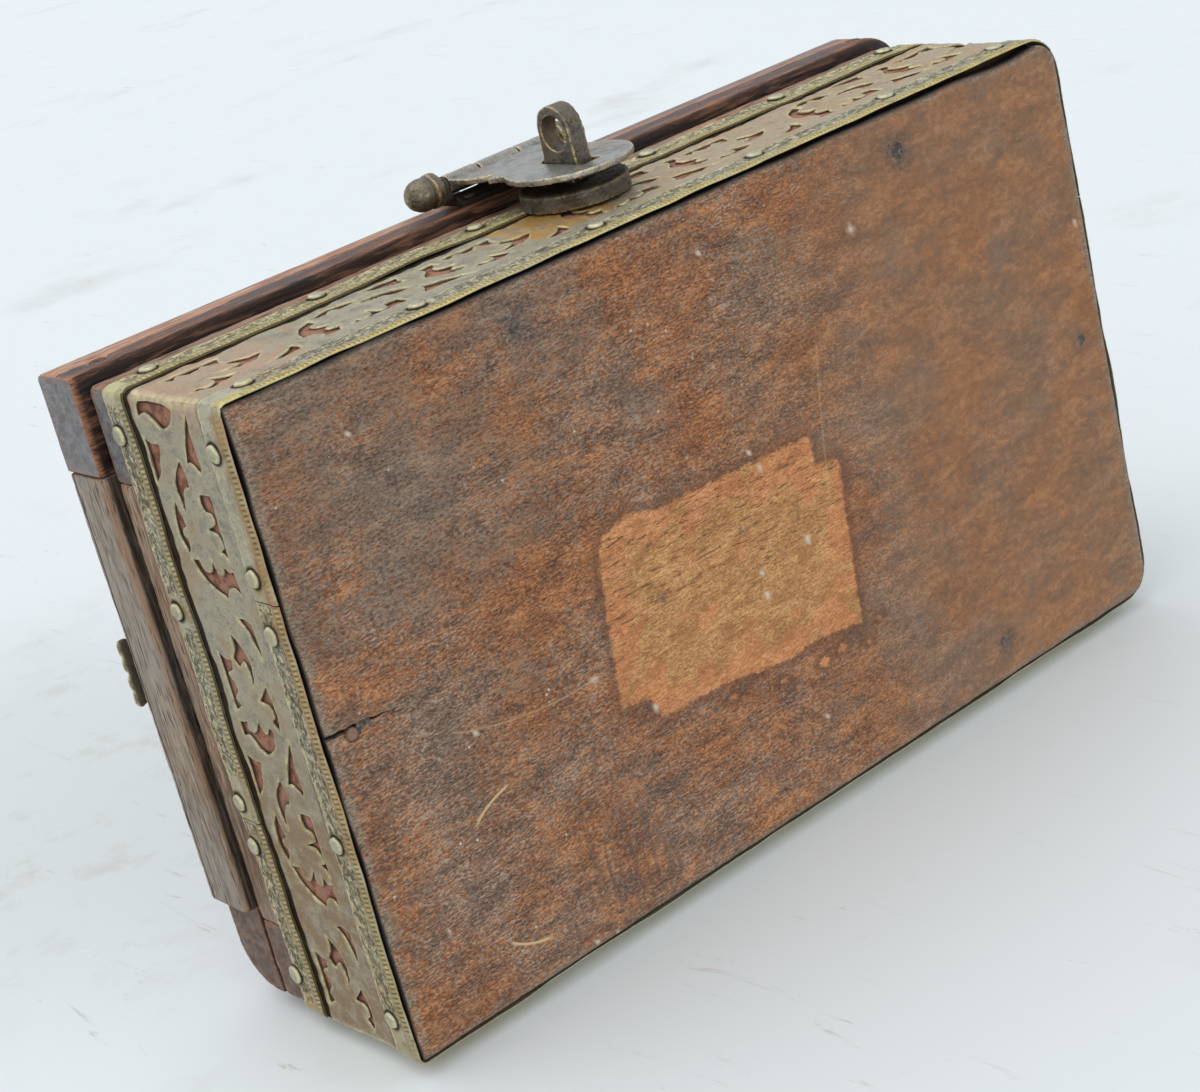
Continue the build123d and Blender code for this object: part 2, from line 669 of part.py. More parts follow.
# Flat eye with a shank through the front board, split and clinched over a rove inside.
tip_centre_y = staple_tip_y + staple_tip_radius
clinch_y = inside_front_y + rove_thickness
with BuildPart() as latch_staple:
    staple_plane = Plane(origin=(latch_x - staple_thickness / 2, 0, latch_z), x_dir=(0, 1, 0),
                         z_dir=(1, 0, 0))
    with BuildSketch(staple_plane):
        with BuildLine():
            Line((collar_face_y, -staple_base_width / 2), (collar_face_y, staple_base_width / 2))
            Line((collar_face_y, staple_base_width / 2), (tip_centre_y, staple_tip_radius))
            ThreePointArc((tip_centre_y, staple_tip_radius), (staple_tip_y, 0),
                          (tip_centre_y, -staple_tip_radius))
            Line((tip_centre_y, -staple_tip_radius), (collar_face_y, -staple_base_width / 2))
        make_face()
        with Locations(((collar_face_y + clinch_y) / 2, 0)):
            Rectangle(clinch_y - collar_face_y, shank_width)
        with Locations((clinch_y + tail_thickness / 2, 0)):
            Rectangle(tail_thickness, 2 * tail_length)
        with Locations((staple_tip_y + eye_back_from_tip, 0)):
            Circle(eye_radius, mode=Mode.SUBTRACT)
    extrude(amount=staple_thickness)
latch_staple.part.label = "latch_staple"
export_step(latch_staple.part, "parts/latch_staple.step")

with BuildPart() as staple_rove:
    with BuildSketch(front_face.offset(-front_board_thickness)):
        with Locations((latch_x, latch_z)):
            Rectangle(rove_width, rove_width)
            Rectangle(staple_thickness + 2 * shank_clearance, shank_width + 2 * shank_clearance,
                      mode=Mode.SUBTRACT)
    extrude(amount=-rove_thickness)
staple_rove.part.label = "staple_rove"
export_step(staple_rove.part, "parts/staple_rove.step")

# ---------------------------------------------------------------- hinges at the back
# Barrel hinges: the case leaf has the two outer knuckles, the lid leaf the middle one.

def hinge_leaf(place_x, low, own_xs, own_length, other_xs, other_length, holes):
    """One leaf flat on the back with its own knuckles, cleared round the other leaf's."""
    with BuildPart() as leaf:
        with BuildSketch(back_face):
            with Locations((-place_x, low + hinge_leaf_height / 2)):
                Rectangle(hinge_leaf_width, hinge_leaf_height)
        extrude(amount=hinge_leaf_thickness)
        for x in other_xs:
            add(knuckle(place_x + x, hinge_axis_y, hinge_axis_z, other_length + 2 * hinge_side_gap,
                        hinge_knuckle_radius + hinge_side_gap), mode=Mode.SUBTRACT)
        for x in own_xs:
            add(knuckle(place_x + x, hinge_axis_y, hinge_axis_z, own_length, hinge_knuckle_radius))
        add(knuckle(place_x, hinge_axis_y, hinge_axis_z, hinge_leaf_width + 2 * cut_margin,
                    hinge_bore_radius), mode=Mode.SUBTRACT)
        add(holes, mode=Mode.SUBTRACT)
    return leaf.part


outer_xs = (-outer_knuckle_x, outer_knuckle_x)
for side, place_x in (("left", -hinge_x), ("right", hinge_x)):
    with BuildPart() as case_leaf:
        add(hinge_leaf(place_x, case_leaf_low, outer_xs, outer_knuckle, (0,), hinge_centre_knuckle,
                       hinge_case_tack_room))
    case_leaf.part.label = f"{side}_hinge_case_leaf"
    export_step(case_leaf.part, f"parts/{side}_hinge_case_leaf.step")

    with BuildPart() as lid_leaf:
        add(hinge_leaf(place_x, lid_bottom_z, (0,), hinge_centre_knuckle, outer_xs, outer_knuckle,
                       hinge_lid_tack_room))
    lid_leaf.part.label = f"{side}_hinge_lid_leaf"
    export_step(lid_leaf.part, f"parts/{side}_hinge_lid_leaf.step")

    with BuildPart() as hinge_pin:
        add(knuckle(place_x, hinge_axis_y, hinge_axis_z, hinge_leaf_width + 2 * hinge_pin_overrun,
                    hinge_pin_radius))
    hinge_pin.part.label = f"{side}_hinge_pin"
    export_step(hinge_pin.part, f"parts/{side}_hinge_pin.step")

with BuildPart() as hinge_case_tacks:
    add(tacks(back_face, hinge_case_tack_places, hinge_leaf_thickness))
hinge_case_tacks.part.label = "hinge_case_tacks"
export_step(hinge_case_tacks.part, "parts/hinge_case_tacks.step")

with BuildPart() as hinge_lid_tacks:
    add(tacks(back_face, hinge_lid_tack_places, hinge_leaf_thickness))
hinge_lid_tacks.part.label = "hinge_lid_tacks"
export_step(hinge_lid_tacks.part, "parts/hinge_lid_tacks.step")

# ---------------------------------------------------------------- lid rails
# Front rail and end rails overhang the case; the back rail is flush with it and
# its top back edge is rounded off so the lid can swing back.
lid_front_face = Plane(origin=(0, lid_front_y, 0), x_dir=(1, 0, 0), z_dir=(0, -1, 0))
panel_face = Plane(origin=(0, 0, panel_top_z), x_dir=(1, 0, 0), z_dir=(0, 0, 1))
lid_nail_places = [(x, lid_nail_z) for x in (-lid_end_mid_x, lid_end_mid_x)]
lid_front_nail_grip = lid_front_rail_width + corner_nail_grip
lid_back_nail_grip = lid_back_rail_width + corner_nail_grip
panel_nail_length = panel_thickness + panel_nail_grip
front_lid_nail_room = nail_holes(lid_front_face, lid_nail_places, lid_front_nail_grip, 0)
back_lid_nail_room = nail_holes(back_face, lid_nail_places, lid_back_nail_grip, 0)
panel_nail_room = nail_holes(panel_face, panel_nail_places, panel_nail_length, 0)
bracket_tack_reach = bracket_half_width - bracket_tack_end_inset
bracket_tack_xs = (latch_x - bracket_tack_reach, latch_x + bracket_tack_reach)
bracket_tack_zs = (bracket_low + bracket_tack_edge_inset, bracket_high - bracket_tack_edge_inset)
bracket_tack_places = [(x, z) for x in bracket_tack_xs for z in bracket_tack_zs]
bracket_tack_room = pegs(lid_front_face, bracket_tack_places, tack_hole_radius,
                         tack_length - bracket_thickness, bracket_thickness)

with BuildPart() as panel_recess:
    with BuildSketch(Plane.XY.offset(panel_bottom_z)):
        with Locations((0, panel_mid_y)):
            Rectangle(2 * (panel_half_length + panel_fit), panel_length_y + 2 * panel_fit)
    extrude(amount=panel_thickness)

with BuildPart() as lid_front_rail:
    with BuildSketch(Plane.XY.offset(lid_bottom_z)) as front_rail_plan:
        with Locations((0, (lid_front_y + lid_inside_front_y) / 2)):
            Rectangle(2 * lid_half_length, lid_front_rail_width)
        front_right = front_rail_plan.vertices().group_by(Axis.Y)[0].sort_by(Axis.X)[-1]
        fillet(front_right, right_corner_radius + lid_overhang)
    extrude(amount=lid_rail_height)
    front_edges = lid_front_rail.faces().sort_by(Axis.Y)[0].edges()
    fillet(front_edges.filter_by(Axis.X), lid_edge_softening)
    add(panel_recess.part, mode=Mode.SUBTRACT)
    add(front_lid_nail_room, mode=Mode.SUBTRACT)
    add(panel_nail_room, mode=Mode.SUBTRACT)
    add(bracket_tack_room, mode=Mode.SUBTRACT)
lid_front_rail.part.label = "lid_front_rail"
export_step(lid_front_rail.part, "parts/lid_front_rail.step")

with BuildPart() as lid_back_rail:
    with BuildSketch(Plane.XY.offset(lid_bottom_z)) as back_rail_plan:
        with Locations((0, (lid_inside_back_y + back_y) / 2)):
            Rectangle(case_length, lid_back_rail_width)
        back_right = back_rail_plan.vertices().group_by(Axis.Y)[-1].sort_by(Axis.X)[-1]
        fillet(back_right, right_corner_radius)
    extrude(amount=lid_rail_height)
    with BuildSketch(Plane.YZ.offset(-half_length - cut_margin)):
        with BuildLine():
            Line((back_y - lid_back_round, lid_rail_top_z), (back_y, lid_rail_top_z))
            Line((back_y, lid_rail_top_z), (back_y, lid_rail_top_z - lid_back_round))
            RadiusArc((back_y, lid_rail_top_z - lid_back_round), (back_y - lid_back_round, lid_rail_top_z),
                      -lid_back_round)
        make_face()
    extrude(amount=case_length + 2 * cut_margin, mode=Mode.SUBTRACT)
    add(panel_recess.part, mode=Mode.SUBTRACT)
    add(back_lid_nail_room, mode=Mode.SUBTRACT)
    add(panel_nail_room, mode=Mode.SUBTRACT)
    add(hinge_lid_tack_room, mode=Mode.SUBTRACT)
lid_back_rail.part.label = "lid_back_rail"
export_step(lid_back_rail.part, "parts/lid_back_rail.step")

for side, sign in (("left", -1), ("right", 1)):
    with BuildPart() as end_rail:
        with BuildSketch(Plane.XY.offset(lid_bottom_z)):
            with Locations((sign * lid_end_mid_x, (lid_inside_front_y + lid_inside_back_y) / 2)):
                Rectangle(lid_end_rail_width, lid_inside_back_y - lid_inside_front_y)
        extrude(amount=lid_rail_height)
        outer_face = end_rail.faces().sort_by(Axis.X)[-1 if sign > 0 else 0]
        fillet(outer_face.edges().filter_by(Axis.Y), lid_edge_softening)
        add(panel_recess.part, mode=Mode.SUBTRACT)
        add(front_lid_nail_room, mode=Mode.SUBTRACT)
        add(back_lid_nail_room, mode=Mode.SUBTRACT)
        add(panel_nail_room, mode=Mode.SUBTRACT)
    end_rail.part.label = f"lid_{side}_rail"
    export_step(end_rail.part, f"parts/lid_{side}_rail.step")

# ---------------------------------------------------------------- lid panel and strap
strap_half_length = lid_half_length + strap_overrun
scallop_count = round(2 * strap_half_length / (2 * scallop_radius))
scallop_pitch = 2 * (strap_half_length - scallop_radius) / (scallop_count - 1)
strap_tack_half = strap_half_length - strap_tack_end_inset
strap_tack_pitch = 2 * strap_tack_half / (strap_tack_count - 1)
strap_tack_xs = [-strap_tack_half + index * strap_tack_pitch for index in range(strap_tack_count)]
strap_tack_places = [(x, strap_y) for x in strap_tack_xs]
strap_tack_room = pegs(panel_face, strap_tack_places, tack_hole_radius,
                       strap_tack_length - strap_thickness, strap_thickness)

with BuildPart() as lid_top_panel:
    with BuildSketch(Plane.XY.offset(panel_bottom_z)):
        with Locations((0, panel_mid_y)):
            Rectangle(2 * panel_half_length, panel_length_y)
    extrude(amount=panel_thickness)
    upper_edges = lid_top_panel.faces().sort_by(Axis.Z)[-1].edges()
    fillet(upper_edges, lid_edge_softening)
    add(panel_nail_room, mode=Mode.SUBTRACT)
    add(strap_tack_room, mode=Mode.SUBTRACT)
lid_top_panel.part.label = "lid_top_panel"
export_step(lid_top_panel.part, "parts/lid_top_panel.step")

with BuildPart() as lid_panel_nails:
    add(nails(panel_face, panel_nail_places, panel_nail_length, 0))
lid_panel_nails.part.label = "lid_panel_nails"
export_step(lid_panel_nails.part, "parts/lid_panel_nails.step")

with BuildPart() as lid_corner_nails:
    add(nails(lid_front_face, lid_nail_places, lid_front_nail_grip, 0))
    add(nails(back_face, lid_nail_places, lid_back_nail_grip, 0))
lid_corner_nails.part.label = "lid_corner_nails"
export_step(lid_corner_nails.part, "parts/lid_corner_nails.step")

with BuildPart() as lid_strap:
    with BuildSketch(panel_face):
        with Locations((0, strap_y)):
            Rectangle(2 * (strap_half_length - scallop_radius), strap_width - 2 * scallop_radius)
            with GridLocations(scallop_pitch, strap_width - 2 * scallop_radius, scallop_count, 2):
                Circle(scallop_radius)
            with GridLocations(2 * (strap_half_length - scallop_radius), 2 * scallop_radius, 2, 2):
                Circle(scallop_radius)
    extrude(amount=strap_thickness)
    add(strap_tack_room, mode=Mode.SUBTRACT)
lid_strap.part.label = "lid_strap"
export_step(lid_strap.part, "parts/lid_strap.step")

with BuildPart() as lid_strap_tacks:
    add(tacks(panel_face, strap_tack_places, strap_thickness, strap_tack_length))
lid_strap_tacks.part.label = "lid_strap_tacks"
export_step(lid_strap_tacks.part, "parts/lid_strap_tacks.step")

# ---------------------------------------------------------------- hasp bracket on the lid
hasp_bore_radius = hasp_pin_radius + hasp_running_fit
with BuildPart() as hasp_bracket:
    with BuildSketch(lid_front_face):
        with Locations((latch_x, (bracket_low + bracket_high) / 2)):
            Rectangle(2 * bracket_half_width, bracket_high - bracket_low)
    extrude(amount=bracket_thickness)
    with BuildSketch(lid_front_face):
        with Locations((latch_x, hasp_pin_z)):
            Rectangle(2 * bracket_knuckle_half, bracket_web)
    extrude(amount=lid_front_y - hasp_pin_y)
    add(knuckle(latch_x, hasp_pin_y, hasp_pin_z, 2 * bracket_knuckle_half, hasp_knuckle_radius))
    add(knuckle(latch_x, hasp_pin_y, hasp_pin_z, 2 * bracket_knuckle_half + 2 * cut_margin, hasp_bore_radius),
        mode=Mode.SUBTRACT)
    add(bracket_tack_room, mode=Mode.SUBTRACT)
hasp_bracket.part.label = "hasp_bracket"
export_step(hasp_bracket.part, "parts/hasp_bracket.step")

with BuildPart() as hasp_bracket_tacks:
    add(tacks(lid_front_face, bracket_tack_places, bracket_thickness))
hasp_bracket_tacks.part.label = "hasp_bracket_tacks"
export_step(hasp_bracket_tacks.part, "parts/hasp_bracket_tacks.step")

# ---------------------------------------------------------------- hasp
# Half outline of the plate, from the hinge edge down to the round end.
shoulder = (hasp_shoulder_half_width, hasp_pin_z - hasp_shoulder_drop)
waist = (hasp_waist_half_width, latch_z + hasp_waist_rise)
neck = (hasp_neck_half_width, (shoulder[1] + 2 * waist[1]) / 3)
cusp = (hasp_cusp_half_width, latch_z + hasp_cusp_rise)
cusp_bow = (hasp_cusp_bow, latch_z + hasp_bow_rise)
disc_start = ((hasp_disc_radius ** 2 - hasp_disc_rise ** 2) ** 0.5, latch_z + hasp_disc_rise)
disc_side = (hasp_disc_radius, latch_z)
slot_half = hasp_slot_width / 2
slot_low = latch_z - hasp_slot_drop
slot_high = latch_z + hasp_slot_rise
hasp_plane = Plane(origin=(latch_x, hasp_pin_y - hasp_plate_offset, 0), x_dir=(1, 0, 0), z_dir=(0, -1, 0))
window_half = bracket_knuckle_half + knuckle_side_gap
side_knuckle = hasp_top_half_width - window_half

with BuildPart() as hasp_plate:
    with BuildSketch(hasp_plane):
        with BuildLine():
            Polyline((0, hasp_pin_z), (hasp_top_half_width, hasp_pin_z), shoulder)
            ThreePointArc(shoulder, neck, waist)
            Line(waist, cusp)
            ThreePointArc(cusp, cusp_bow, disc_start)
            ThreePointArc(disc_start, disc_side, (0, latch_z - hasp_disc_radius))
            mirror(about=Plane.YZ)
        make_face()
        with BuildLine():
            Polyline((-slot_half, slot_low), (-slot_half, slot_high), (0, slot_high + hasp_slot_point),
                     (slot_half, slot_high), (slot_half, slot_low), close=True)
        make_face(mode=Mode.SUBTRACT)
    extrude(amount=-hasp_plate_thickness)
    for side in (-1, 1):
        add(knuckle(latch_x + side * (window_half + side_knuckle / 2), hasp_pin_y, hasp_pin_z,
                    side_knuckle, hasp_knuckle_radius))
    add(knuckle(latch_x, hasp_pin_y, hasp_pin_z, 2 * window_half, hasp_knuckle_radius + knuckle_side_gap),
        mode=Mode.SUBTRACT)
    add(knuckle(latch_x, hasp_pin_y, hasp_pin_z, 2 * hasp_top_half_width + 2 * cut_margin, hasp_bore_radius),
        mode=Mode.SUBTRACT)
hasp_plate.part.label = "hasp_plate"
export_step(hasp_plate.part, "parts/hasp_plate.step")

ring_inner = finial_spacing / 2 - finial_radius - finial_ring_length / 3
hasp_pin_half = ring_inner + finial_grip
with BuildPart() as hasp_pin:
    add(knuckle(latch_x, hasp_pin_y, hasp_pin_z, 2 * hasp_pin_half, hasp_pin_radius))
hasp_pin.part.label = "hasp_pin"
export_step(hasp_pin.part, "parts/hasp_pin.step")

ball_middle = finial_spacing / 2 - ring_inner
neck_radius = finial_radius - finial_neck_inset
for side, sign in (("left", -1), ("right", 1)):
    ring_plane = Plane(origin=(latch_x + sign * ring_inner, hasp_pin_y, hasp_pin_z), x_dir=(sign, 0, 0),
                       z_dir=(0, -1, 0))
    with BuildPart() as finial:
        with BuildSketch(ring_plane):
            with BuildLine():
                Polyline((finial_grip, 0), (finial_grip, hasp_bore_radius), (0, hasp_bore_radius),
                         (0, finial_ring_radius - finial_ring_bevel), (finial_ring_bevel, finial_ring_radius),
                         (finial_ring_length - finial_ring_bevel, finial_ring_radius),
                         (finial_ring_length, neck_radius))
                ThreePointArc((finial_ring_length, neck_radius), (ball_middle, finial_radius),
                              (ball_middle + finial_radius, finial_tip_radius))
                Polyline((ball_middle + finial_radius, finial_tip_radius),
                         (ball_middle + finial_radius + finial_tip_length, 0), (finial_grip, 0))
            make_face()
        revolve(axis=Axis(ring_plane.origin, ring_plane.x_dir))
    finial.part.label = f"hasp_{side}_finial"
    export_step(finial.part, f"parts/hasp_{side}_finial.step")
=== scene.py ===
import json
import math

import bpy
import numpy as np
from mathutils import Matrix, Vector, kdtree

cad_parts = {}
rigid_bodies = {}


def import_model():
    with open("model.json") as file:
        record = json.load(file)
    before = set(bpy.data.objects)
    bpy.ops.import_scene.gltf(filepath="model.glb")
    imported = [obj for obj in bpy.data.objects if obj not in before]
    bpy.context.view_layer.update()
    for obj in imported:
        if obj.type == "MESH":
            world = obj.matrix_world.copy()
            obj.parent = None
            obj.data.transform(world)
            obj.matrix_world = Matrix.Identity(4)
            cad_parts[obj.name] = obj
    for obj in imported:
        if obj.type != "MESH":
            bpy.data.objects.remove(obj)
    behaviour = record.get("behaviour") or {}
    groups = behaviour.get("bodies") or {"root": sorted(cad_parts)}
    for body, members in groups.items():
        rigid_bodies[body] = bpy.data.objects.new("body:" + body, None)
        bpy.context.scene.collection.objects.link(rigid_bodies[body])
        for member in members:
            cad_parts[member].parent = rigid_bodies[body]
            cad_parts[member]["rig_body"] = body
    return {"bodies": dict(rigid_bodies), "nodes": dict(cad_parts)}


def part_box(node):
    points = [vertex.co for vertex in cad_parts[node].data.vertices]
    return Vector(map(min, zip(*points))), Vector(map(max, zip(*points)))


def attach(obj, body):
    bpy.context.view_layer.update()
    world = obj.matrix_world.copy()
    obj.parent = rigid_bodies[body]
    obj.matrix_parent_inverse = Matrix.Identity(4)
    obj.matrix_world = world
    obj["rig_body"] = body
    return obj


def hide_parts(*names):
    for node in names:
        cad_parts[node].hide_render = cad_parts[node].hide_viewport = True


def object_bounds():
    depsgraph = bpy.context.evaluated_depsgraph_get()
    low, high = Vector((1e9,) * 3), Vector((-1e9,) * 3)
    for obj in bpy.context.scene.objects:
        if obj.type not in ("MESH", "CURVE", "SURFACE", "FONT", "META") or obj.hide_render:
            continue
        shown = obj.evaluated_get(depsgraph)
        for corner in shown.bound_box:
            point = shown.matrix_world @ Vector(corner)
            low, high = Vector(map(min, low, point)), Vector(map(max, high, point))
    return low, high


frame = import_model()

# A small wooden dowry chest with pierced brass mounts, seen from under its front
# left corner as it lies on its back.  Lengths are in millimetres here, in the
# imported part's frame, and become metres as each mesh is made.
MM = 0.001
cad_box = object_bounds()


# ---------------------------------------------------------------- sizes read from the frame
def span(node):
    """A node's lowest and highest corners in millimetres."""
    low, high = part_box(node)
    return np.array(low) / MM, np.array(high) / MM


case_low, case_high = span("front_board")
half_length = case_high[0]
front_y = case_low[1]
back_y = span("back_board")[1][1]
case_top = case_high[2]
bottom_low, bottom_high = span("bottom_board")
band_low, band_high = span("left_pierced_band")
lower_low, lower_high = span("lower_edging_front")
upper_low, upper_high = span("upper_edging_front")
collar_low, collar_high = span("latch_collar")
milling_height = 0.15           # the ribs and leaves stand out of the strip's plain face by this
joint_half_gap = 0.15           # from a strip's end to the middle of the joint
band_out = -half_length - band_low[0]
strip_out = -half_length - lower_low[0] - milling_height
right_corner_radius = span("right_pierced_band")[0][1] - front_y
left_corner_radius = 1.2
lower_joint_y = lower_high[1] + joint_half_gap
upper_joint_y = upper_high[1] + joint_half_gap
latch_x = (collar_low[0] + collar_high[0]) / 2


# ---------------------------------------------------------------- smooth noise
def wobble(points, wavelength, seed, waves=9):
    """Smooth noise of about unit size at each point, the same on every run."""
    rng = np.random.default_rng(seed)
    ways = rng.normal(size=(waves, points.shape[-1]))
    ways /= np.linalg.norm(ways, axis=1)[:, None]
    ways *= 2 * math.pi / wavelength * rng.uniform(0.6, 1.6, size=(waves, 1))
    phases = rng.uniform(0, 2 * math.pi, waves)
    return np.sin(points @ ways.T + phases).sum(axis=-1) / math.sqrt(waves / 2)


def smoothstep(low, high, value):
    """0 up to low and 1 from high on, or the other way round where low is more than high."""
    share = np.clip((value - low) / (high - low), 0, 1)
    return share * share * (3 - 2 * share)


def hump(middle, reach, value):
    """1 at the middle, falling smoothly to 0 at the reach."""
    return 1 - smoothstep(0, reach, np.abs(value - middle))


# ---------------------------------------------------------------- node materials
def srgb(red, green, blue):
    """A colour given as it looks on screen, 0 to 255, as linear light."""
    shares = [channel / 255 for channel in (red, green, blue)]
    return tuple(c / 12.92 if c <= 0.04045 else ((c + 0.055) / 1.055) ** 2.4 for c in shares) + (1.0,)


class Value:
    """A number in a node material, which plain arithmetic works on."""

    def __init__(self, look, socket):
        self.look = look
        self.socket = socket

    def __add__(self, other):
        return self.look.math("ADD", self, other)

    def __sub__(self, other):
        return self.look.math("SUBTRACT", self, other)

    def __rsub__(self, other):
        return self.look.math("SUBTRACT", other, self)

    def __mul__(self, other):
        return self.look.math("MULTIPLY", self, other)

    __rmul__ = __mul__

    def __abs__(self):
        return self.look.math("ABSOLUTE", self)


class Look:
    """A node material built by small calls.  Places are in millimetres on the piece, and colours are
    given as they look on screen."""

    def __init__(self, name, metallic=0.0, roughness=0.5, specular=0.5):
        self.material = bpy.data.materials.new(name)
        self.material.use_nodes = True
        self.tree = self.material.node_tree
        self.shader = self.tree.nodes["Principled BSDF"]
        self.shader.inputs["Metallic"].default_value = metallic
        self.shader.inputs["Roughness"].default_value = roughness
        self.shader.inputs["Specular IOR Level"].default_value = specular
        coordinates = self.node("ShaderNodeTexCoord")
        self.place = self.vector("MULTIPLY", coordinates.outputs["Object"], (1 / MM,) * 3)

    def node(self, kind, inputs=None, **settings):
        made = self.tree.nodes.new(kind)
        for key, value in settings.items():
            setattr(made, key, value)
        for key, value in (inputs or {}).items():
            self.feed(made.inputs[key], value)
        return made

    def feed(self, socket, value):
        if isinstance(value, Value):
            value = value.socket
        if isinstance(value, bpy.types.NodeSocket):
            self.tree.links.new(value, socket)
        else:
            socket.default_value = srgb(*value) if socket.type == "RGBA" else value

    def number(self, kind, inputs, output=0, **settings):
        """One output of a new node, as a number that arithmetic works on."""
        return Value(self, self.node(kind, inputs, **settings).outputs[output])

    def vector(self, operation, first, second):
        return self.node("ShaderNodeVectorMath", {0: first, 1: second}, operation=operation).outputs[0]

    def length(self, vector):
        return self.number("ShaderNodeVectorMath", {0: vector}, "Value", operation="LENGTH")

    def math(self, operation, first, second=0.0):
        return self.number("ShaderNodeMath", {0: first, 1: second}, operation=operation)

    def most(self, first, second):
        return self.math("MAXIMUM", first, second)

    def axis(self, name):
        return self.number("ShaderNodeSeparateXYZ", {0: self.place}, name)

    def noise(self, size, stretch=(1, 1, 1), detail=4.0, roughness=0.55, twist=0.0, shift=0.0):
        """Noise whose patches are about size millimetres, longer where stretch is more."""
        place = self.vector("MULTIPLY", self.place, tuple(1 / (size * part) for part in stretch))
        if shift:
            place = self.vector("ADD", place, (shift, -shift, shift))
        return self.number("ShaderNodeTexNoise", {"Vector": place, "Scale": 1.0, "Detail": detail,
                                                  "Roughness": roughness, "Distortion": twist})

    def cells(self, size):
        """Distance to the nearest of many scattered points, about size millimetres apart."""
        place = self.vector("MULTIPLY", self.place, (1 / size,) * 3)
        return self.number("ShaderNodeTexVoronoi", {"Vector": place, "Scale": 1.0}, "Distance")

    def span(self, value, low, high, to_low=0.0, to_high=1.0):
        return self.number("ShaderNodeMapRange", {"Value": value, "From Min": low, "From Max": high,
                                                  "To Min": to_low, "To Max": to_high},
                           interpolation_type="SMOOTHSTEP")

    def ramp(self, value, places, *colours):
        made = self.node("ShaderNodeValToRGB", {"Fac": value})
        elements = made.color_ramp.elements
        while len(elements) < len(places):
            elements.new(0.5)
        for element, place, colour in zip(elements, places, colours):
            element.position = place
            element.color = srgb(*colour)
        return made.outputs[0]

    def mix(self, share, first, second):
        made = self.node("ShaderNodeMix", data_type="RGBA", clamp_factor=True)
        for key, value in (("Factor", share), (6, first), (7, second)):
            self.feed(made.inputs[key], value)
        return made.outputs[2]

    def trait(self, name):
        """A number kept on the mesh's points, such as how worn an edge is."""
        return self.number("ShaderNodeAttribute", None, "Fac", attribute_name=name)

    def bump(self, height, deep, below=None):
        """Raises the surface by height times deep millimetres, in shading only."""
        inputs = {"Height": height, "Distance": deep * MM, "Strength": 1.0}
        if below is not None:
            inputs["Normal"] = below
        return self.node("ShaderNodeBump", inputs).outputs[0]

    def finish(self, colour, roughness=None, normal=None):
        for name, value in (("Base Color", colour), ("Roughness", roughness), ("Normal", normal)):
            if value is not None:
                self.feed(self.shader.inputs[name], value)
        return self.material


def grain_stretch(grain):
    """How much longer a wood fibre is along the grain axis than across it."""
    return tuple(17.0 if axis == grain else 1.0 for axis in "XYZ")


def end_grain(look):
    """Weathered end grain with fine open pores: blue-grey at the front, brown at the back."""
    cloud = look.noise(3.2, detail=7.0, roughness=0.68)
    grey = look.ramp(cloud, (0.4, 0.6), (106, 105, 104), (138, 138, 138))
    brown = look.ramp(cloud, (0.4, 0.6), (88, 70, 58), (128, 106, 90))
    grey = look.mix(look.span(look.axis("Y"), -20.0, 40.0), grey, brown)
    dots = look.span(look.noise(0.5, detail=2.0, shift=17.0), 0.57, 0.66)
    return look.mix(dots * 0.4, grey, (62, 58, 58))


def wood_look(name, grain, dark, middle, light, bloom, bloom_share, seam_height=None):
    """Old oiled hardwood: fibres and pores along one axis, grey end grain, a dusty bloom, rubbed edges."""
    look = Look(name, roughness=0.55, specular=0.3)
    shorter = grain_stretch(grain)
    fibre = look.noise(0.7, shorter, detail=6.0, roughness=0.7, twist=0.15)
    bands = look.noise(5.0, shorter, detail=4.0, twist=0.5)
    fleck = look.noise(0.42, shorter, detail=3.0, roughness=0.6, shift=12.0)
    tone = fibre * 0.4 + bands * 0.35 + fleck * 0.25
    colour = look.ramp(tone, (0.42, 0.5, 0.58), dark, middle, light)
    dust = look.span(look.noise(30.0, detail=4.0), 0.38, 0.6) * bloom_share
    dust = dust * look.span(fleck, 0.36, 0.6, 0.55, 1.0)
    colour = look.mix(dust, colour, bloom)
    pores = look.span(look.noise(0.36, shorter, detail=1.0, shift=31.0), 0.60, 0.67)
    pores = pores * look.span(bands, 0.42, 0.56, 0.35, 0.95)
    colour = look.mix(pores, colour, (48, 28, 22))
    colour = look.mix(look.trait("end") * 0.92, colour, end_grain(look))
    rubbed = look.trait("worn") * look.span(look.noise(1.8, shorter, detail=5.0), 0.4, 0.55)
    colour = look.mix(rubbed * 0.6, colour, (168, 122, 88))
    # darker in hollows, and painted shade under the lower faces along the case's outside
    grime_and_shade = look.trait("hollow") * look.span(fibre, 0.42, 0.6, 0.98, 0.82)
    if seam_height is not None:
        wander = (look.noise(14.0, detail=4.0) - 0.5) * 1.6
        off = look.axis("Z") + wander - seam_height
        grime_and_shade = look.most(grime_and_shade, look.span(abs(off), 0.34, 0.16, 0.0, 0.95))
    colour = look.mix(grime_and_shade, colour, (24, 14, 10))
    roughness = look.span(look.noise(3.0, detail=5.0), 0.35, 0.65, 0.45, 0.7)
    return look.finish(colour, roughness, look.bump(fibre - pores * 0.9, 0.35))


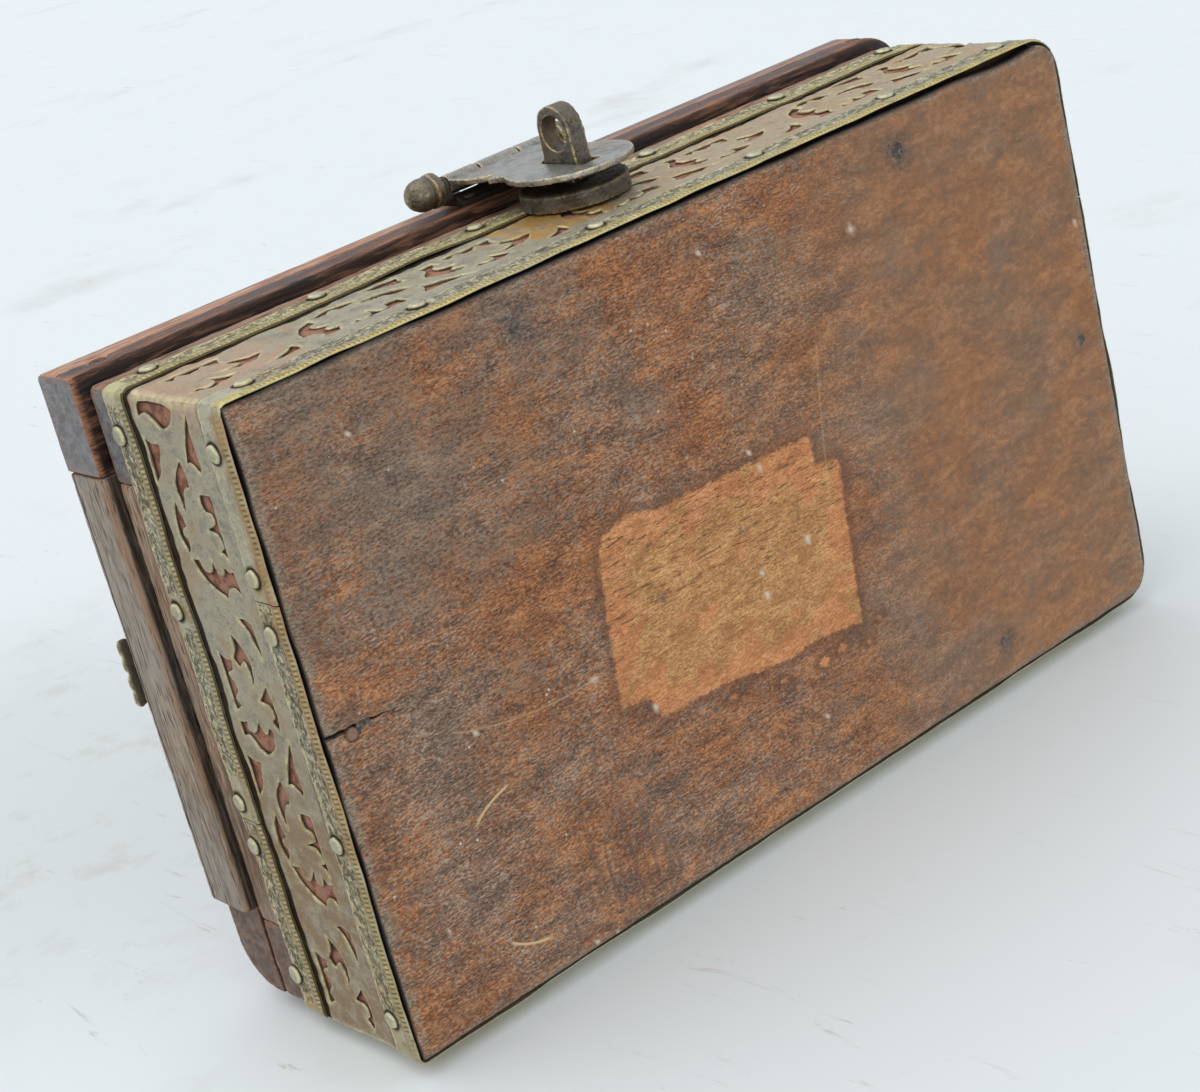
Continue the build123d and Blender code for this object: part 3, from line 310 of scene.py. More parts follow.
def lid_front_look():
    """The lid's front rail: streaked face, dark with painted shade below and pale above, a painted orange
    highlight between, its upper edge rubbed to orange.
    """
    look = Look("lid_front_wood", roughness=0.5, specular=0.35)
    fibre = look.noise(0.8, (11, 1, 1), detail=6.0, roughness=0.7, twist=0.3)
    streak = look.noise(1.7, (9, 1, 1), detail=5.0, roughness=0.65, twist=0.8, shift=8.0)
    dark = look.ramp(streak, (0.42, 0.5, 0.58), (40, 24, 18), (78, 48, 37), (134, 92, 68))
    pale = look.ramp(fibre, (0.4, 0.5, 0.6), (132, 90, 66), (170, 128, 100), (198, 164, 138))
    mauve = look.ramp(fibre, (0.4, 0.5, 0.6), (108, 84, 74), (130, 106, 96), (148, 126, 117))
    x, z = look.axis("X"), look.axis("Z")
    pale = look.mix(look.span(x, -60.0, 60.0), pale, mauve)
    climb = look.span(x, -118.0, -55.0, 0.0, 1.6)
    height = z - climb + (fibre - 0.5) * 5.0
    # painted shade: the dark streaked wood below, the pale wood above
    colour = look.mix(look.span(height, 58.6, 59.6), dark, pale)
    # a painted orange highlight along the top of the shaded part
    lit = abs(height - 59.9)
    colour = look.mix(look.span(lit, 0.9, 0.2, 0.0, 0.7), colour, (190, 122, 76))
    colour = look.mix(look.trait("end") * 0.95, colour, end_grain(look))
    rubbed = look.trait("worn") * look.span(fibre, 0.42, 0.55)
    colour = look.mix(rubbed * 0.75, colour, (196, 130, 84))
    shade = look.ramp(streak, (0.44, 0.54, 0.62), (18, 11, 9), (44, 28, 21), (104, 74, 54))
    colour = look.mix(look.trait("hollow") * 0.94, colour, shade)
    return look.finish(colour, look.span(streak, 0.4, 0.6, 0.4, 0.62), look.bump(fibre, 0.4))


def box_share(look, low, high, soft):
    """1 inside a box on the piece, fading out over soft millimetres around it."""
    share = 1.0
    for name, least, most in zip("XYZ", low, high):
        place = look.axis(name)
        share = share * (look.span(place, least - soft, least) * look.span(place, most + soft, most))
    return share


def brass_look(name, dull, body, warm, bright, metallic=0.55, polish=0.5, tarnish=0.35, tints=(), steady=0.55,
               rough=0.42):
    """Old brass: olive patina with warm stains, dirt and painted shade in the hollows and under other parts,
    bright rubbed rims.
    Tints are low corner, high corner, softness, colour and share."""
    look = Look(name, metallic=metallic, roughness=0.5)
    patches = look.noise(7.0, detail=6.0, roughness=0.62)
    speckle = look.noise(0.6, detail=5.0, roughness=0.75)
    colour = look.ramp(patches * 0.6 + speckle * 0.4, (0.4, 0.5, 0.6), dull, body, dull)
    stain = look.span(look.noise(15.0, detail=5.0, roughness=0.6, shift=4.0), 0.5, 0.66)
    colour = look.mix(stain * 0.6, colour, warm)
    spots = look.span(look.noise(1.8, detail=6.0, roughness=0.75, shift=9.0), 0.56, 0.66)
    for low, high, soft, colour_there, share in tints:
        broken = look.span(look.noise(5.0, detail=6.0, roughness=0.65, shift=2.0), 0.38, 0.56, 0.25, share)
        colour = look.mix(box_share(look, low, high, soft) * broken, colour, colour_there)
    colour = look.mix(look.trait("bead") * 0.75, colour, warm)
    colour = look.mix(spots * tarnish, colour, (66, 56, 40))
    worn = look.trait("worn")
    chatter = look.most(look.span(speckle, 0.38, 0.58), look.span(patches, 0.4, 0.6))
    rubbed = worn * look.span(look.noise(1.3, detail=4.0), 0.42, 0.56, steady, 1.0)
    rubbed = rubbed * look.span(chatter, 0.0, 1.0, 0.5, 1.0)
    colour = look.mix(rubbed * polish, colour, bright)
    marks = look.noise(0.75, (2.4, 2.4, 1), detail=3.0, roughness=0.6, twist=1.0, shift=13.0)
    chased = look.trait("chased") * look.span(marks, 0.48, 0.55)
    # dark from the trait and the chased marks: dirt, patina and painted shade
    hollow = look.most(look.trait("hollow"), chased * 0.8)
    colour = look.mix(hollow * 0.93, colour, (32, 24, 16))
    clean = 1.0 - hollow
    look.feed(look.shader.inputs["Metallic"], clean * metallic)
    look.feed(look.shader.inputs["Specular IOR Level"], clean * 0.5)
    normal = look.bump(speckle - chased * 1.5, 0.06, look.bump(patches, 0.3))
    roughness = look.span(speckle, 0.35, 0.65, rough, rough + 0.24) - worn * 0.1
    return look.finish(colour, roughness, normal)


def backing_look():
    """Terracotta cloth-like sheet behind the openwork, darker with painted shade along and under the metal.
    """
    look = Look("terracotta_sheet", roughness=0.9, specular=0.15)
    patches = look.noise(3.0, detail=6.0, roughness=0.65)
    colour = look.ramp(patches, (0.4, 0.5, 0.6), (124, 86, 68), (168, 120, 96), (152, 118, 102))
    colour = look.mix(look.trait("hollow") * 0.85, colour, (48, 28, 20))
    return look.finish(colour, None, look.bump(look.noise(0.35, detail=3.0), 0.08))


def iron_look(name, dark, middle, light):
    """Rusted dark iron, or the same under old wood oil."""
    look = Look(name, metallic=0.2, roughness=0.7)
    rust = look.noise(0.8, detail=6.0, roughness=0.75)
    colour = look.ramp(rust, (0.42, 0.52, 0.62), dark, middle, light)
    return look.finish(colour, None, look.bump(rust, 0.25))


# ---------------------------------------------------------------- underside of the bottom board
# Places on the underside, millimetres from the part's middle.
patch_corners = [(-50.0, 24.2), (-46.0, -8.7), (-44.0, -12.7), (-36.0, -15.2), (-28.0, -13.0), (18.0, -11.2),
                 (18.0, -3.6), (25.0, -2.8), (21.5, 36.8), (8.0, 34.4), (-2.0, 35.2), (-20.0, 32.2),
                 (-40.0, 31.2), (-42.0, 25.2)]
nail_places = [(-51.0, -62.0), (62.0, -62.0), (-60.0, 62.0), (65.0, 62.0), (109.8, 1.5), (-109.8, -1.5)]
# long scratches: arc centre and radius, where along X, half width and strength
underside_scratches = [((-80.0, 44.2), 18.3, -92.5, -81.0, 0.42, 0.9),
                       ((330.0, 40.0), 312.0, 18.5, 27.0, 0.4, 0.2),
                       ((-60.0, -75.0), 90.0, -92.0, -52.0, 0.35, 0.3)]
peg_place = (-112.8, -1.25)
peg_radius = 1.6
crack_y = -1.6
crack_end_x = -99.0
# lime specks and chips: place and reach
chips = [(43.0, -50.2, 1.3), (-27.0, -32.7, 0.6), (0.0, -14.2, 0.6), (5.0, 53.2, 0.6), (115.0, -26.7, 0.8),
         (-105.0, 48.2, 0.6), (-41.0, 28.2, 1.1), (-4.0, 18.2, 1.2), (2.0, -9.7, 0.8), (-4.0, 13.2, 0.8),
         (-86.0, 12.0, 0.6), (-96.0, 12.5, 0.5), (-95.0, -57.0, 0.6), (-1.0, -60.5, 0.8), (-71.0, 70.0, 0.7),
         (-54.5, 14.8, 0.8), (-65.0, 71.2, 0.6), (11.0, 11.2, 1.3)]
# dark marks on the patch: place, reach and strength
blots = [(-32.0, 6.2, 2.2, 0.8), (10.0, 3.0, 1.3, 0.7), (9.2, 5.6, 1.6, 0.8), (-7.0, 1.5, 2.2, 0.45),
         (1.5, 8.5, 1.2, 0.5)]
# tan flakes beyond the patch's back edge
flakes = [(14.0, 39.5, 1.5), (22.0, 41.5, 1.1), (8.0, 40.5, 1.7), (-5.0, 39.0, 1.0), (-20.0, 36.0, 1.2),
          (27.0, 38.0, 0.9)]


def polygon_distance(points, corners):
    """Signed distance to a closed outline, positive inside."""
    corners = np.array(corners)
    nearest = np.full(len(points), 1e9)
    inside = np.zeros(len(points), dtype=bool)
    for start, end in zip(corners, np.roll(corners, -1, axis=0)):
        side = end - start
        share = np.clip(((points - start) @ side) / (side @ side), 0, 1)
        nearest = np.minimum(nearest, np.linalg.norm(points - start - share[:, None] * side, axis=1))
        crosses = (start[1] > points[:, 1]) != (end[1] > points[:, 1])
        rise = end[1] - start[1] if end[1] != start[1] else 1e-9
        inside ^= crosses & (points[:, 0] < start[0] + (points[:, 1] - start[1]) / rise * side[0])
    return np.where(inside, nearest, -nearest)


def arc_line(look, centre, radius, low_x, high_x, half):
    """1 along an arc round a centre on the underside, between two places along X, and 0 beside it."""
    away = look.vector("SUBTRACT", look.place, (*centre, 0.0))
    away = look.vector("MULTIPLY", away, (1.0, 1.0, 0.0))
    off = abs(look.length(away) - radius)
    x = look.axis("X")
    along = look.span(x, low_x, low_x + 2.0) * look.span(x, high_x, high_x - 2.0)
    return look.span(off, half, half * 0.3) * along


def underside_wood(look):
    """The plank's oiled wood: fine rust-orange and grey fibres, smoother and tan towards the right.
    Also the tone, fibre and fine noises that the other layers share."""
    x = look.axis("X")
    fine = look.noise(0.42, (2.2, 1, 1), detail=4.0, roughness=0.75, shift=6.0)
    hue = look.noise(0.62, (2.6, 1, 1), detail=3.0, roughness=0.7, twist=0.4, shift=16.0)
    middle = look.noise(5.0, (2.4, 1, 1), detail=6.0, roughness=0.65, twist=0.4)
    fibre = look.noise(0.5, (9, 1, 1), detail=4.0, roughness=0.7, twist=0.3, shift=2.0)
    mottle = look.noise(1.5, (1.5, 1, 1), detail=5.0, roughness=0.65, twist=0.6, shift=27.0)
    # polished towards the right, where the fibres hardly show and mottling takes over
    fibrous = look.span(x, 70.0, 5.0, 0.18, 1.2)
    mottled = look.span(x, 0.0, 60.0)
    tone = 0.5
    for noise, share in ((fine, fibrous * 0.55), (fibre, fibrous * 0.2),
                         (middle, look.span(mottled, 0.0, 1.0, 0.3, 0.22)), (mottle, mottled * 0.2)):
        tone = (noise - 0.5) * share + tone
    grey = look.ramp(tone, (0.39, 0.5, 0.61), (66, 51, 42), (122, 99, 81), (184, 160, 138))
    rust = look.ramp(tone, (0.39, 0.5, 0.61), (74, 41, 22), (142, 89, 51), (196, 138, 88))
    tan = look.ramp(tone, (0.36, 0.5, 0.64), (90, 66, 50), (132, 103, 78), (178, 148, 118))
    clouds = look.noise(26.0, detail=5.0, shift=3.0)
    middle_of_plank = look.span(x, -112.0, -45.0) * look.span(x, 70.0, 20.0)
    rusty = clouds * 0.35 + hue * 0.5 + middle * 0.15 + middle_of_plank * 0.025
    colour = look.mix(look.span(rusty, 0.45, 0.575), grey, rust)
    sway = (look.noise(40.0, detail=5.0) - 0.5) * 160.0
    ruddy = look.ramp(tone, (0.36, 0.5, 0.64), (96, 60, 38), (148, 101, 64), (192, 146, 104))
    blend = clouds * 0.4 + middle * 0.35 + mottle * 0.25
    smooth = look.mix(look.span(blend, 0.38, 0.6), tan, ruddy)
    colour = look.mix(look.span(x + sway, -10.0, 80.0, 0.0, 0.85), colour, smooth)
    return colour, tone, fibre, fine


def underside_patch(look, colour, tone):
    """Lays the pale patch on: bare wood where something was once stuck, salmon at its ragged rim."""
    tone = (tone - 0.5) * 0.75 + 0.5
    ragged = look.trait("patch") + (look.noise(2.2, detail=7.0, roughness=0.75) - 0.5) * 4.0
    inside = look.span(ragged, -0.4, 0.8) * 0.94
    pale = look.ramp(tone, (0.4, 0.5, 0.6), (132, 88, 48), (188, 138, 84), (226, 182, 124))
    glow = look.ramp(tone, (0.4, 0.5, 0.6), (150, 90, 52), (200, 134, 84), (228, 170, 118))
    salmon = look.span(look.trait("patch"), 12.0, 1.0, -0.06, 0.12) + look.noise(9.0, detail=6.0)
    salmon = look.span(salmon, 0.48, 0.6)
    pale = look.mix(salmon, pale, glow)
    cloudy = look.noise(3.5, (1.8, 1, 1), detail=6.0, roughness=0.7, shift=9.0)
    pale = look.mix(look.span(cloudy, 0.48, 0.62, 0.0, 0.6), pale, (158, 104, 58))
    marks = look.noise(0.7, (8, 1, 1), detail=4.0, roughness=0.7, twist=1.2, shift=19.0)
    marks = look.span(marks, 0.55, 0.63) * look.span(look.axis("Y"), 26.0, 2.0, 0.3, 0.9)
    pale = look.mix(marks, pale, (92, 64, 38))
    halo = look.span(ragged, -3.4, -0.4) * (1.0 - inside)
    colour = look.mix(halo * 0.5, colour, (92, 56, 36))
    return look.mix(inside, colour, pale)


def underside_look():
    """The plank's underside: oiled wood, bloom, saw marks, scratches, iron stains and a pale patch."""
    look = Look("bottom_plank", roughness=0.5, specular=0.3)
    x = look.axis("X")
    colour, tone, fibre, fine = underside_wood(look)
    # grey bloom, thickest by the front left corner, lying on the raised fibres
    dusty = look.noise(16.0, detail=6.0, roughness=0.65, shift=11.0) + look.trait("dust") * 0.2
    bloom = look.span(dusty, 0.5, 0.7) * look.span(fine, 0.42, 0.6, 0.1, 0.8)
    colour = look.mix(bloom * 0.75, colour, (118, 110, 96))
    # dark streaks across the grain at the back left
    streaks = look.noise(2.6, (1, 20, 1), detail=3.0, roughness=0.6, shift=5.0)
    streak = look.span(streaks, 0.46, 0.6) * look.trait("streaks")
    colour = look.mix(streak * 0.5, colour, (84, 70, 62))
    # pale dust caught in the scratches, and scattered lime specks
    dry = look.span(x, 40.0, -40.0, 0.15, 0.6)
    scratch = look.noise(0.4, (3.4, 1, 1), detail=5.0, roughness=0.85, twist=1.2, shift=23.0)
    colour = look.mix(look.span(scratch, 0.6, 0.66) * dry, colour, (206, 190, 166))
    speck = look.span(look.cells(4.6), 0.085, 0.05)
    scatter = look.span(look.noise(12.0, detail=3.0, shift=41.0), 0.5, 0.56)
    speck = speck * scatter * dry
    colour = look.mix(speck * 1.5, colour, (206, 196, 176))
    colour = underside_patch(look, colour, tone)
    for *line, share in underside_scratches:
        colour = look.mix(arc_line(look, *line) * share, colour, (214, 180, 134))
    # iron stains, flakes and chips, the peg, the crack and the rubbed rim
    broken = look.span(look.noise(1.6, detail=6.0, roughness=0.75), 0.38, 0.58, 0.35, 1.0)
    stain = look.trait("stain") * broken
    colour = look.mix(stain, colour, look.ramp(fine, (0.4, 0.6), (44, 42, 42), (100, 96, 90)))
    edge = look.trait("rim") * look.span(look.noise(4.0, detail=5.0), 0.4, 0.56, 0.3, 0.9)
    colour = look.mix(edge, colour, look.ramp(fine, (0.4, 0.6), (96, 86, 72), (156, 144, 124)))
    colour = look.mix(look.trait("peg"), colour, (136, 106, 90))
    colour = look.mix(look.trait("chip"), colour, (212, 200, 180))
    # painted shade in the crack, round the peg, at the edges and on the sides
    colour = look.mix(look.trait("hollow"), colour, (14, 9, 7))
    scuffs = look.noise(0.45, (1.3, 1, 1), detail=4.0, roughness=0.8, shift=14.0)
    height = (fibre * 0.5 + scuffs * 0.35) * look.span(x, 60.0, -20.0, 0.2, 0.8) - streak * 0.2
    roughness = look.span(look.noise(1.0, detail=6.0, roughness=0.75), 0.35, 0.65, 0.4, 0.7)
    return look.finish(colour, roughness, look.bump(height, 0.22))


# ---------------------------------------------------------------- materials
on_front = (front_y - 4, front_y + 0.05)
on_left = (case_low[0] - 4, case_low[0])
past_back = case_high[1] + 150


def tint(x, y, z, soft, colour, share):
    """A colour laid on a look inside a box, as brass_look takes it."""
    low, high = zip(x, y, z)
    return low, high, soft, colour, share


band_foot = band_low[2]
band_tints = (
    tint((on_left[0], case_low[0] + 24), on_front, (band_foot, 40), 8.0, (182, 146, 118), 0.7),
    tint((latch_x - 23, latch_x - 3), on_front, (18, 40), 4.0, (186, 138, 58), 0.9),
    tint((latch_x + 12, case_high[0]), on_front, (band_foot, 40), 20.0, (182, 148, 112), 0.45),
    tint(on_left, (30, past_back), (0, 40), 45.0, (134, 110, 76), 0.95))
along_front = (case_low[0], case_high[0])
edging_tints = (
    tint(along_front, on_front, (upper_low[2], upper_high[2]), 3.0, (204, 192, 132), 0.7),
    tint(along_front, on_front, (0, lower_low[2] + 2.4), 0.6, (214, 198, 126), 0.8),
    tint(on_left, (30, past_back), (0, 46), 45.0, (160, 140, 92), 0.6),
    tint(on_left, (front_y + 2, upper_joint_y), (0, lower_high[2] - 5.5), 2.0, (170, 112, 48), 0.6))

looks = {
    "front_wood": wood_look("front_wood", "X", (92, 64, 52), (150, 112, 92), (186, 150, 124),
                            (156, 140, 126), 0.6),
    "end_wood": wood_look("end_wood", "Y", (104, 84, 66), (152, 126, 102), (186, 162, 136),
                          (150, 142, 128), 0.7),
    "lid_wood": wood_look("lid_wood", "X", (74, 44, 34), (118, 78, 58), (150, 104, 78),
                          (128, 112, 100), 0.5),
    "lid_end_wood": wood_look("lid_end_wood", "Y", (98, 80, 64), (146, 126, 104), (182, 162, 138),
                              (152, 147, 136), 0.75, seam_height=65.9),
    "lid_front_wood": lid_front_look(),
    "underside": underside_look(),
    "band": brass_look("pierced_brass", (132, 127, 110), (166, 159, 134), (160, 134, 96),
                       (208, 196, 148), polish=0.85, tarnish=0.4, tints=band_tints),
    "edging": brass_look("edging_brass", (146, 141, 118), (182, 177, 152), (150, 124, 62),
                         (224, 212, 160), polish=0.85, tarnish=0.5, tints=edging_tints),
    "tack": brass_look("tack_brass", (126, 123, 106), (162, 160, 140), (150, 130, 88),
                       (220, 212, 166), polish=0.8, tarnish=0.5),
    "latch": brass_look("latch_brass", (66, 60, 52), (108, 102, 92), (112, 86, 60),
                        (206, 184, 126), metallic=0.7, polish=0.9, tarnish=0.5, steady=0.1, rough=0.36),
    "plate": brass_look("plate_brass", (118, 116, 110), (158, 156, 150), (132, 112, 82),
                        (206, 184, 126), metallic=0.75, polish=0.9, tarnish=0.45, steady=0.1, rough=0.26),
    # dark dull brass for the hasp's pin and the bracket's tacks: patina, and painted shade under the hasp
    "bracket": brass_look("dark_brass_painted_shade", (34, 30, 25), (60, 53, 44), (66, 50, 36),
                          (120, 104, 70), metallic=0.0, polish=0.4, tarnish=0.6, rough=0.62),
    "backing": backing_look(),
    "iron": iron_look("old_iron", (52, 48, 45), (84, 77, 70), (130, 120, 108)),
    "oiled_iron": iron_look("oiled_iron", (44, 30, 24), (88, 60, 46), (130, 92, 68)),
}


# ---------------------------------------------------------------- making pieces
def add_traits(mesh, **traits):
    """Keeps numbers on the mesh's points, for its look to read."""
    for name, values in traits.items():
        trait = mesh.attributes.new(name, "FLOAT", "POINT")
        trait.data.foreach_set("value", np.asarray(values, dtype=np.float32))


def add_piece(name, mesh, look, nodes, crisp=40):
    """Puts a mesh in the scene in place of CAD nodes, riding on their body."""
    piece = bpy.data.objects.new(name, mesh)
    bpy.context.scene.collection.objects.link(piece)
    mesh.materials.clear()
    mesh.materials.append(looks[look])
    mesh.shade_smooth()
    mesh.set_sharp_from_angle(angle=math.radians(crisp))
    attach(piece, frame["nodes"][nodes[0]]["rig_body"])
    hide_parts(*nodes)
    return piece


def new_mesh(name, points, faces):
    mesh = bpy.data.meshes.new(name)
    mesh.from_pydata((np.asarray(points) * MM).tolist(), [], faces)
    mesh.update()
    return mesh


def mesh_points(mesh):
    points = np.empty(len(mesh.vertices) * 3, dtype=np.float64)
    mesh.vertices.foreach_get("co", points)
    return points.reshape(-1, 3) / MM


def move_points(mesh, points):
    mesh.vertices.foreach_set("co", (points * MM).ravel())
    mesh.update()


def mesh_normals(mesh):
    normals = np.empty(len(mesh.vertices) * 3)
    mesh.vertex_normals.foreach_get("vector", normals)
    return normals.reshape(-1, 3)


def convexity(mesh, points, rounds):
    """How far each point stands out from its neighbours, smoothed, in millimetres: edges are positive."""
    edges = np.empty(len(mesh.edges) * 2, dtype=np.int64)
    mesh.edges.foreach_get("vertices", edges)
    one, two = edges.reshape(-1, 2).T
    normals = mesh_normals(mesh)
    count = np.bincount(one, minlength=len(points)) + np.bincount(two, minlength=len(points))
    count = np.maximum(count, 1)

    def average(values):
        total = np.zeros_like(values)
        np.add.at(total, one, values[two])
        np.add.at(total, two, values[one])
        return total / (count[:, None] if values.ndim > 1 else count)

    bend = ((points - average(points)) * normals).sum(axis=1)
    for _ in range(rounds):
        bend = 0.5 * bend + 0.5 * average(bend)
    return bend


def remeshed(node, voxel, smoothing):
    """A copy of a CAD node's mesh in even small faces, with its edges softened."""
    copy = bpy.data.objects.new(node + "_even", frame["nodes"][node].data.copy())
    bpy.context.scene.collection.objects.link(copy)
    remesh = copy.modifiers.new("even", "REMESH")
    remesh.mode = "VOXEL"
    remesh.voxel_size = voxel * MM
    soften = copy.modifiers.new("soft", "SMOOTH")
    soften.factor = 0.5
    soften.iterations = smoothing
    depsgraph = bpy.context.evaluated_depsgraph_get()
    mesh = bpy.data.meshes.new_from_object(copy.evaluated_get(depsgraph))
    bpy.data.objects.remove(copy)
    return mesh


def warp(points, amount):
    """The hand-made unevenness that all the woodwork shares, so that joints still meet."""
    moved = points.copy()
    for axis in range(3):
        moved[:, axis] += amount * 0.6 * wobble(points, 70.0, 40 + axis)
        moved[:, axis] += amount * 0.25 * wobble(points, 9.0, 50 + axis)
    return moved


def seam_shade(points, normals, level):
    """The dark seam under a board's lower face, only along the outside: an opened box shows clean wood."""
    past_side = np.abs(points[:, 0]) - half_length
    past_face = np.maximum(front_y - points[:, 1], points[:, 1] - back_y)
    shade = smoothstep(0.3, 0.8, -normals[:, 2]) * smoothstep(2.2, 1.5, past_side)
    shade = shade * smoothstep(level + 0.5, level, points[:, 2])
    return shade * smoothstep(-4.0, -3.0, np.maximum(past_side, past_face))


def worn_piece(node, look, voxel, smoothing, dents, dent_size, warping=0.0, grain=None, dark_below=None,
               reshape=None, dirt_and_shade=None, chasing=None, room=0.0):
    """A CAD node remade with soft worn edges, dents and traits for wear, end grain, dirt and painted shade.
    """
    mesh = remeshed(node, voxel, smoothing)
    points = mesh_points(mesh)
    normals = mesh_normals(mesh)
    low, high = span(node)
    bend = convexity(mesh, points, 2) / voxel
    if warping:
        points = warp(points, warping)
    push = wobble(points, dent_size, 7) * 0.6 + wobble(points, dent_size / 3, 8) * 0.3
    points = points + normals * (push * dents)[:, None]
    if reshape:
        points = reshape(points)
    points = np.clip(points, low - room, high + room)
    move_points(mesh, points)
    # darker where the surface is hollow
    hollow = np.clip(-bend * 7.0 - 0.15, 0, 1)
    # the piece's own dirt and painted shade
    if dirt_and_shade:
        hollow = np.maximum(hollow, dirt_and_shade(points))
    # painted shade on the lower faces along the outside of the case
    if dark_below is not None:
        hollow = np.maximum(hollow, 0.95 * seam_shade(points, normals, dark_below))
    if grain is not None:
        add_traits(mesh, end=smoothstep(0.5, 0.8, np.abs(normals[:, "XYZ".index(grain)])))
    if chasing is not None:
        add_traits(mesh, chased=np.full(len(points), chasing))
    add_traits(mesh, worn=np.clip(bend * 9.0, 0, 1), hollow=hollow)
    return add_piece(node + "_worn", mesh, look, [node])


# ---------------------------------------------------------------- path round the case
arc_points = 25


def case_path():
    """The wood's outline from the front left mitre, anticlockwise from above: run, place, outward way."""
    marks = []

    def arc(centre, radius, start, end):
        for angle in np.radians(np.linspace(start, end, arc_points)):
            way = (math.cos(angle), math.sin(angle))
            marks.append((centre[0] + radius * way[0], centre[1] + radius * way[1], *way))

    sharp, round_ = left_corner_radius, right_corner_radius
    arc((-half_length + sharp, front_y + sharp), sharp, 225, 270)
    arc((half_length - round_, front_y + round_), round_, 270, 360)
    arc((half_length - round_, back_y - round_), round_, 0, 90)
    arc((-half_length + sharp, back_y - sharp), sharp, 90, 180)
    arc((-half_length + sharp, front_y + sharp), sharp, 180, 225)
    marks = np.array(marks)
    runs = np.concatenate([[0], np.cumsum(np.linalg.norm(np.diff(marks[:, :2], axis=0), axis=1))])
    return runs, marks


path_runs, path_marks = case_path()
path_length = path_runs[-1]
# each side runs from the end of one corner's arc to the start of the next one's
corner_runs = {"back_mitre": path_runs[3 * arc_points + arc_points // 2]}
for order, side in enumerate(("front", "right", "back", "left"), start=1):
    corner_runs[f"{side}_start"] = path_runs[order * arc_points - 1]
    corner_runs[f"{side}_end"] = path_runs[order * arc_points]


def on_path(run, out, height):
    """Points at a run round the case, an offset out of the wood and a height."""
    run = np.mod(run, path_length)
    x, y, way_x, way_y = (np.interp(run, path_runs, path_marks[:, column]) for column in range(4))
    size = np.hypot(way_x, way_y)
    return np.stack([x + way_x / size * out, y + way_y / size * out, height], axis=-1)


def run_on_front(x):
    return corner_runs["front_start"] + x + half_length - left_corner_radius


def run_on_back(x):
    return corner_runs["back_start"] + half_length - right_corner_radius - x


def run_on_right(y):
    return corner_runs["right_start"] + y - front_y - right_corner_radius


def run_on_left(y):
    return corner_runs["left_start"] + back_y - left_corner_radius - y


# ---------------------------------------------------------------- pierced bands
# One repeat of the vine: each opening is a loop of sides that meet at sharp corners.  A side is a smooth
# curve through its points, up to the next side's first point.  Millimetres leftwards, seen from outside,
# and up from the lower edging.
vine_openings = [
    # wedge over the tendril
    [[(9.8, 25.2), (15.0, 25.3)], [(19.6, 25.4), (16.6, 22.6), (13.6, 21.2)], [(10.8, 20.0), (10.9, 22.6)]],
    # small arch over the first stem
    [[(13.7, 14.2), (16.8, 17.3), (20.5, 18.7)], [(25.6, 17.4), (22.4, 16.8)], [(20.2, 15.8), (19.4, 14.9)],
     [(19.2, 13.4), (16.6, 13.1)]],
    # low wedge under the first stem
    [[(2.8, 4.8), (8.0, 8.2)], [(14.2, 11.4), (13.6, 9.4)], [(15.6, 6.4), (13.6, 5.6), (8.8, 5.8)]],
    # arch over the broad leaf
    [[(22.8, 20.9), (26.0, 22.8), (30.4, 23.4)], [(34.4, 21.6), (32.4, 20.4)],
     [(31.0, 20.2), (30.3, 21.3), (29.0, 21.3)], [(28.0, 19.2), (25.6, 20.0)]],
    # large crescent beyond the broad leaf, with the leaf's teeth
    [[(35.2, 21.2), (38.6, 19.2), (41.2, 15.4)], [(42.6, 11.4), (40.2, 9.8), (39.9, 7.6)], [(41.0, 5.8)],
     [(36.0, 5.8), (36.4, 7.4)], [(35.2, 9.2), (37.4, 10.2), (37.0, 12.0)],
     [(34.4, 12.9), (37.2, 14.6), (37.4, 17.2)], [(35.0, 18.2), (35.3, 19.6)]],
    # toothed gap under the broad leaf
    [[(20.2, 5.9)], [(20.3, 10.0), (22.0, 10.5)], [(23.8, 9.9), (24.2, 7.6), (26.2, 7.3)],
     [(27.9, 11.3), (28.2, 7.8), (31.0, 6.4)], [(32.1, 8.4), (32.7, 6.8)], [(33.9, 5.9)]],
    # comma after the tendril tip
    [[(46.8, 10.0), (49.6, 7.4)], [(54.8, 5.3), (51.0, 4.9)], [(47.2, 5.2), (46.5, 7.6)]],
    # top gap over the second leaf
    [[(56.2, 23.3)], [(69.4, 23.4)], [(68.0, 20.8), (66.4, 22.1)], [(64.4, 20.2)],
     [(62.4, 20.6), (60.8, 21.9)], [(59.6, 19.6)], [(57.2, 18.7), (57.4, 20.8)]],
    # low left gap of the second leaf
    [[(50.6, 15.1), (54.0, 15.6)], [(56.7, 17.6), (58.3, 16.2)], [(57.4, 14.8), (56.7, 13.4), (59.6, 12.3)],
     [(62.4, 13.2), (59.6, 11.3), (54.6, 11.4)]],
    # toothed gap under the second leaf
    [[(61.2, 7.6)], [(65.2, 11.8), (65.6, 8.4), (67.9, 7.6)], [(69.3, 9.2)],
     [(71.4, 7.6), (68.6, 6.4), (65.4, 6.4)]],
]
# between the second leaf's teeth and the next bud
joining_opening = [
    [(71.7, 23.4)], [(75.4, 23.5), (74.7, 21.2)], [(77.2, 18.2), (78.0, 15.6), (75.6, 11.6)],
    [(72.0, 10.3), (71.4, 11.8), (73.2, 13.8)], [(70.6, 15.6), (73.6, 18.2), (73.4, 20.6)],
    [(71.4, 20.6), (71.9, 22.0)]]
# the bean-shaped opening at the front left corner
corner_opening = [
    [(2.2, 23.6), (3.4, 24.7)], [(5.3, 25.0), (4.3, 21.6)], [(5.9, 18.5), (7.2, 16.4), (5.8, 12.6)],
    [(2.8, 10.4), (2.1, 13.0), (1.9, 18.0)]]
vine_pitch = 70.0
vine_drawn_height = 28.7        # edging to edging, as drawn above
cut_sample_step = 0.15


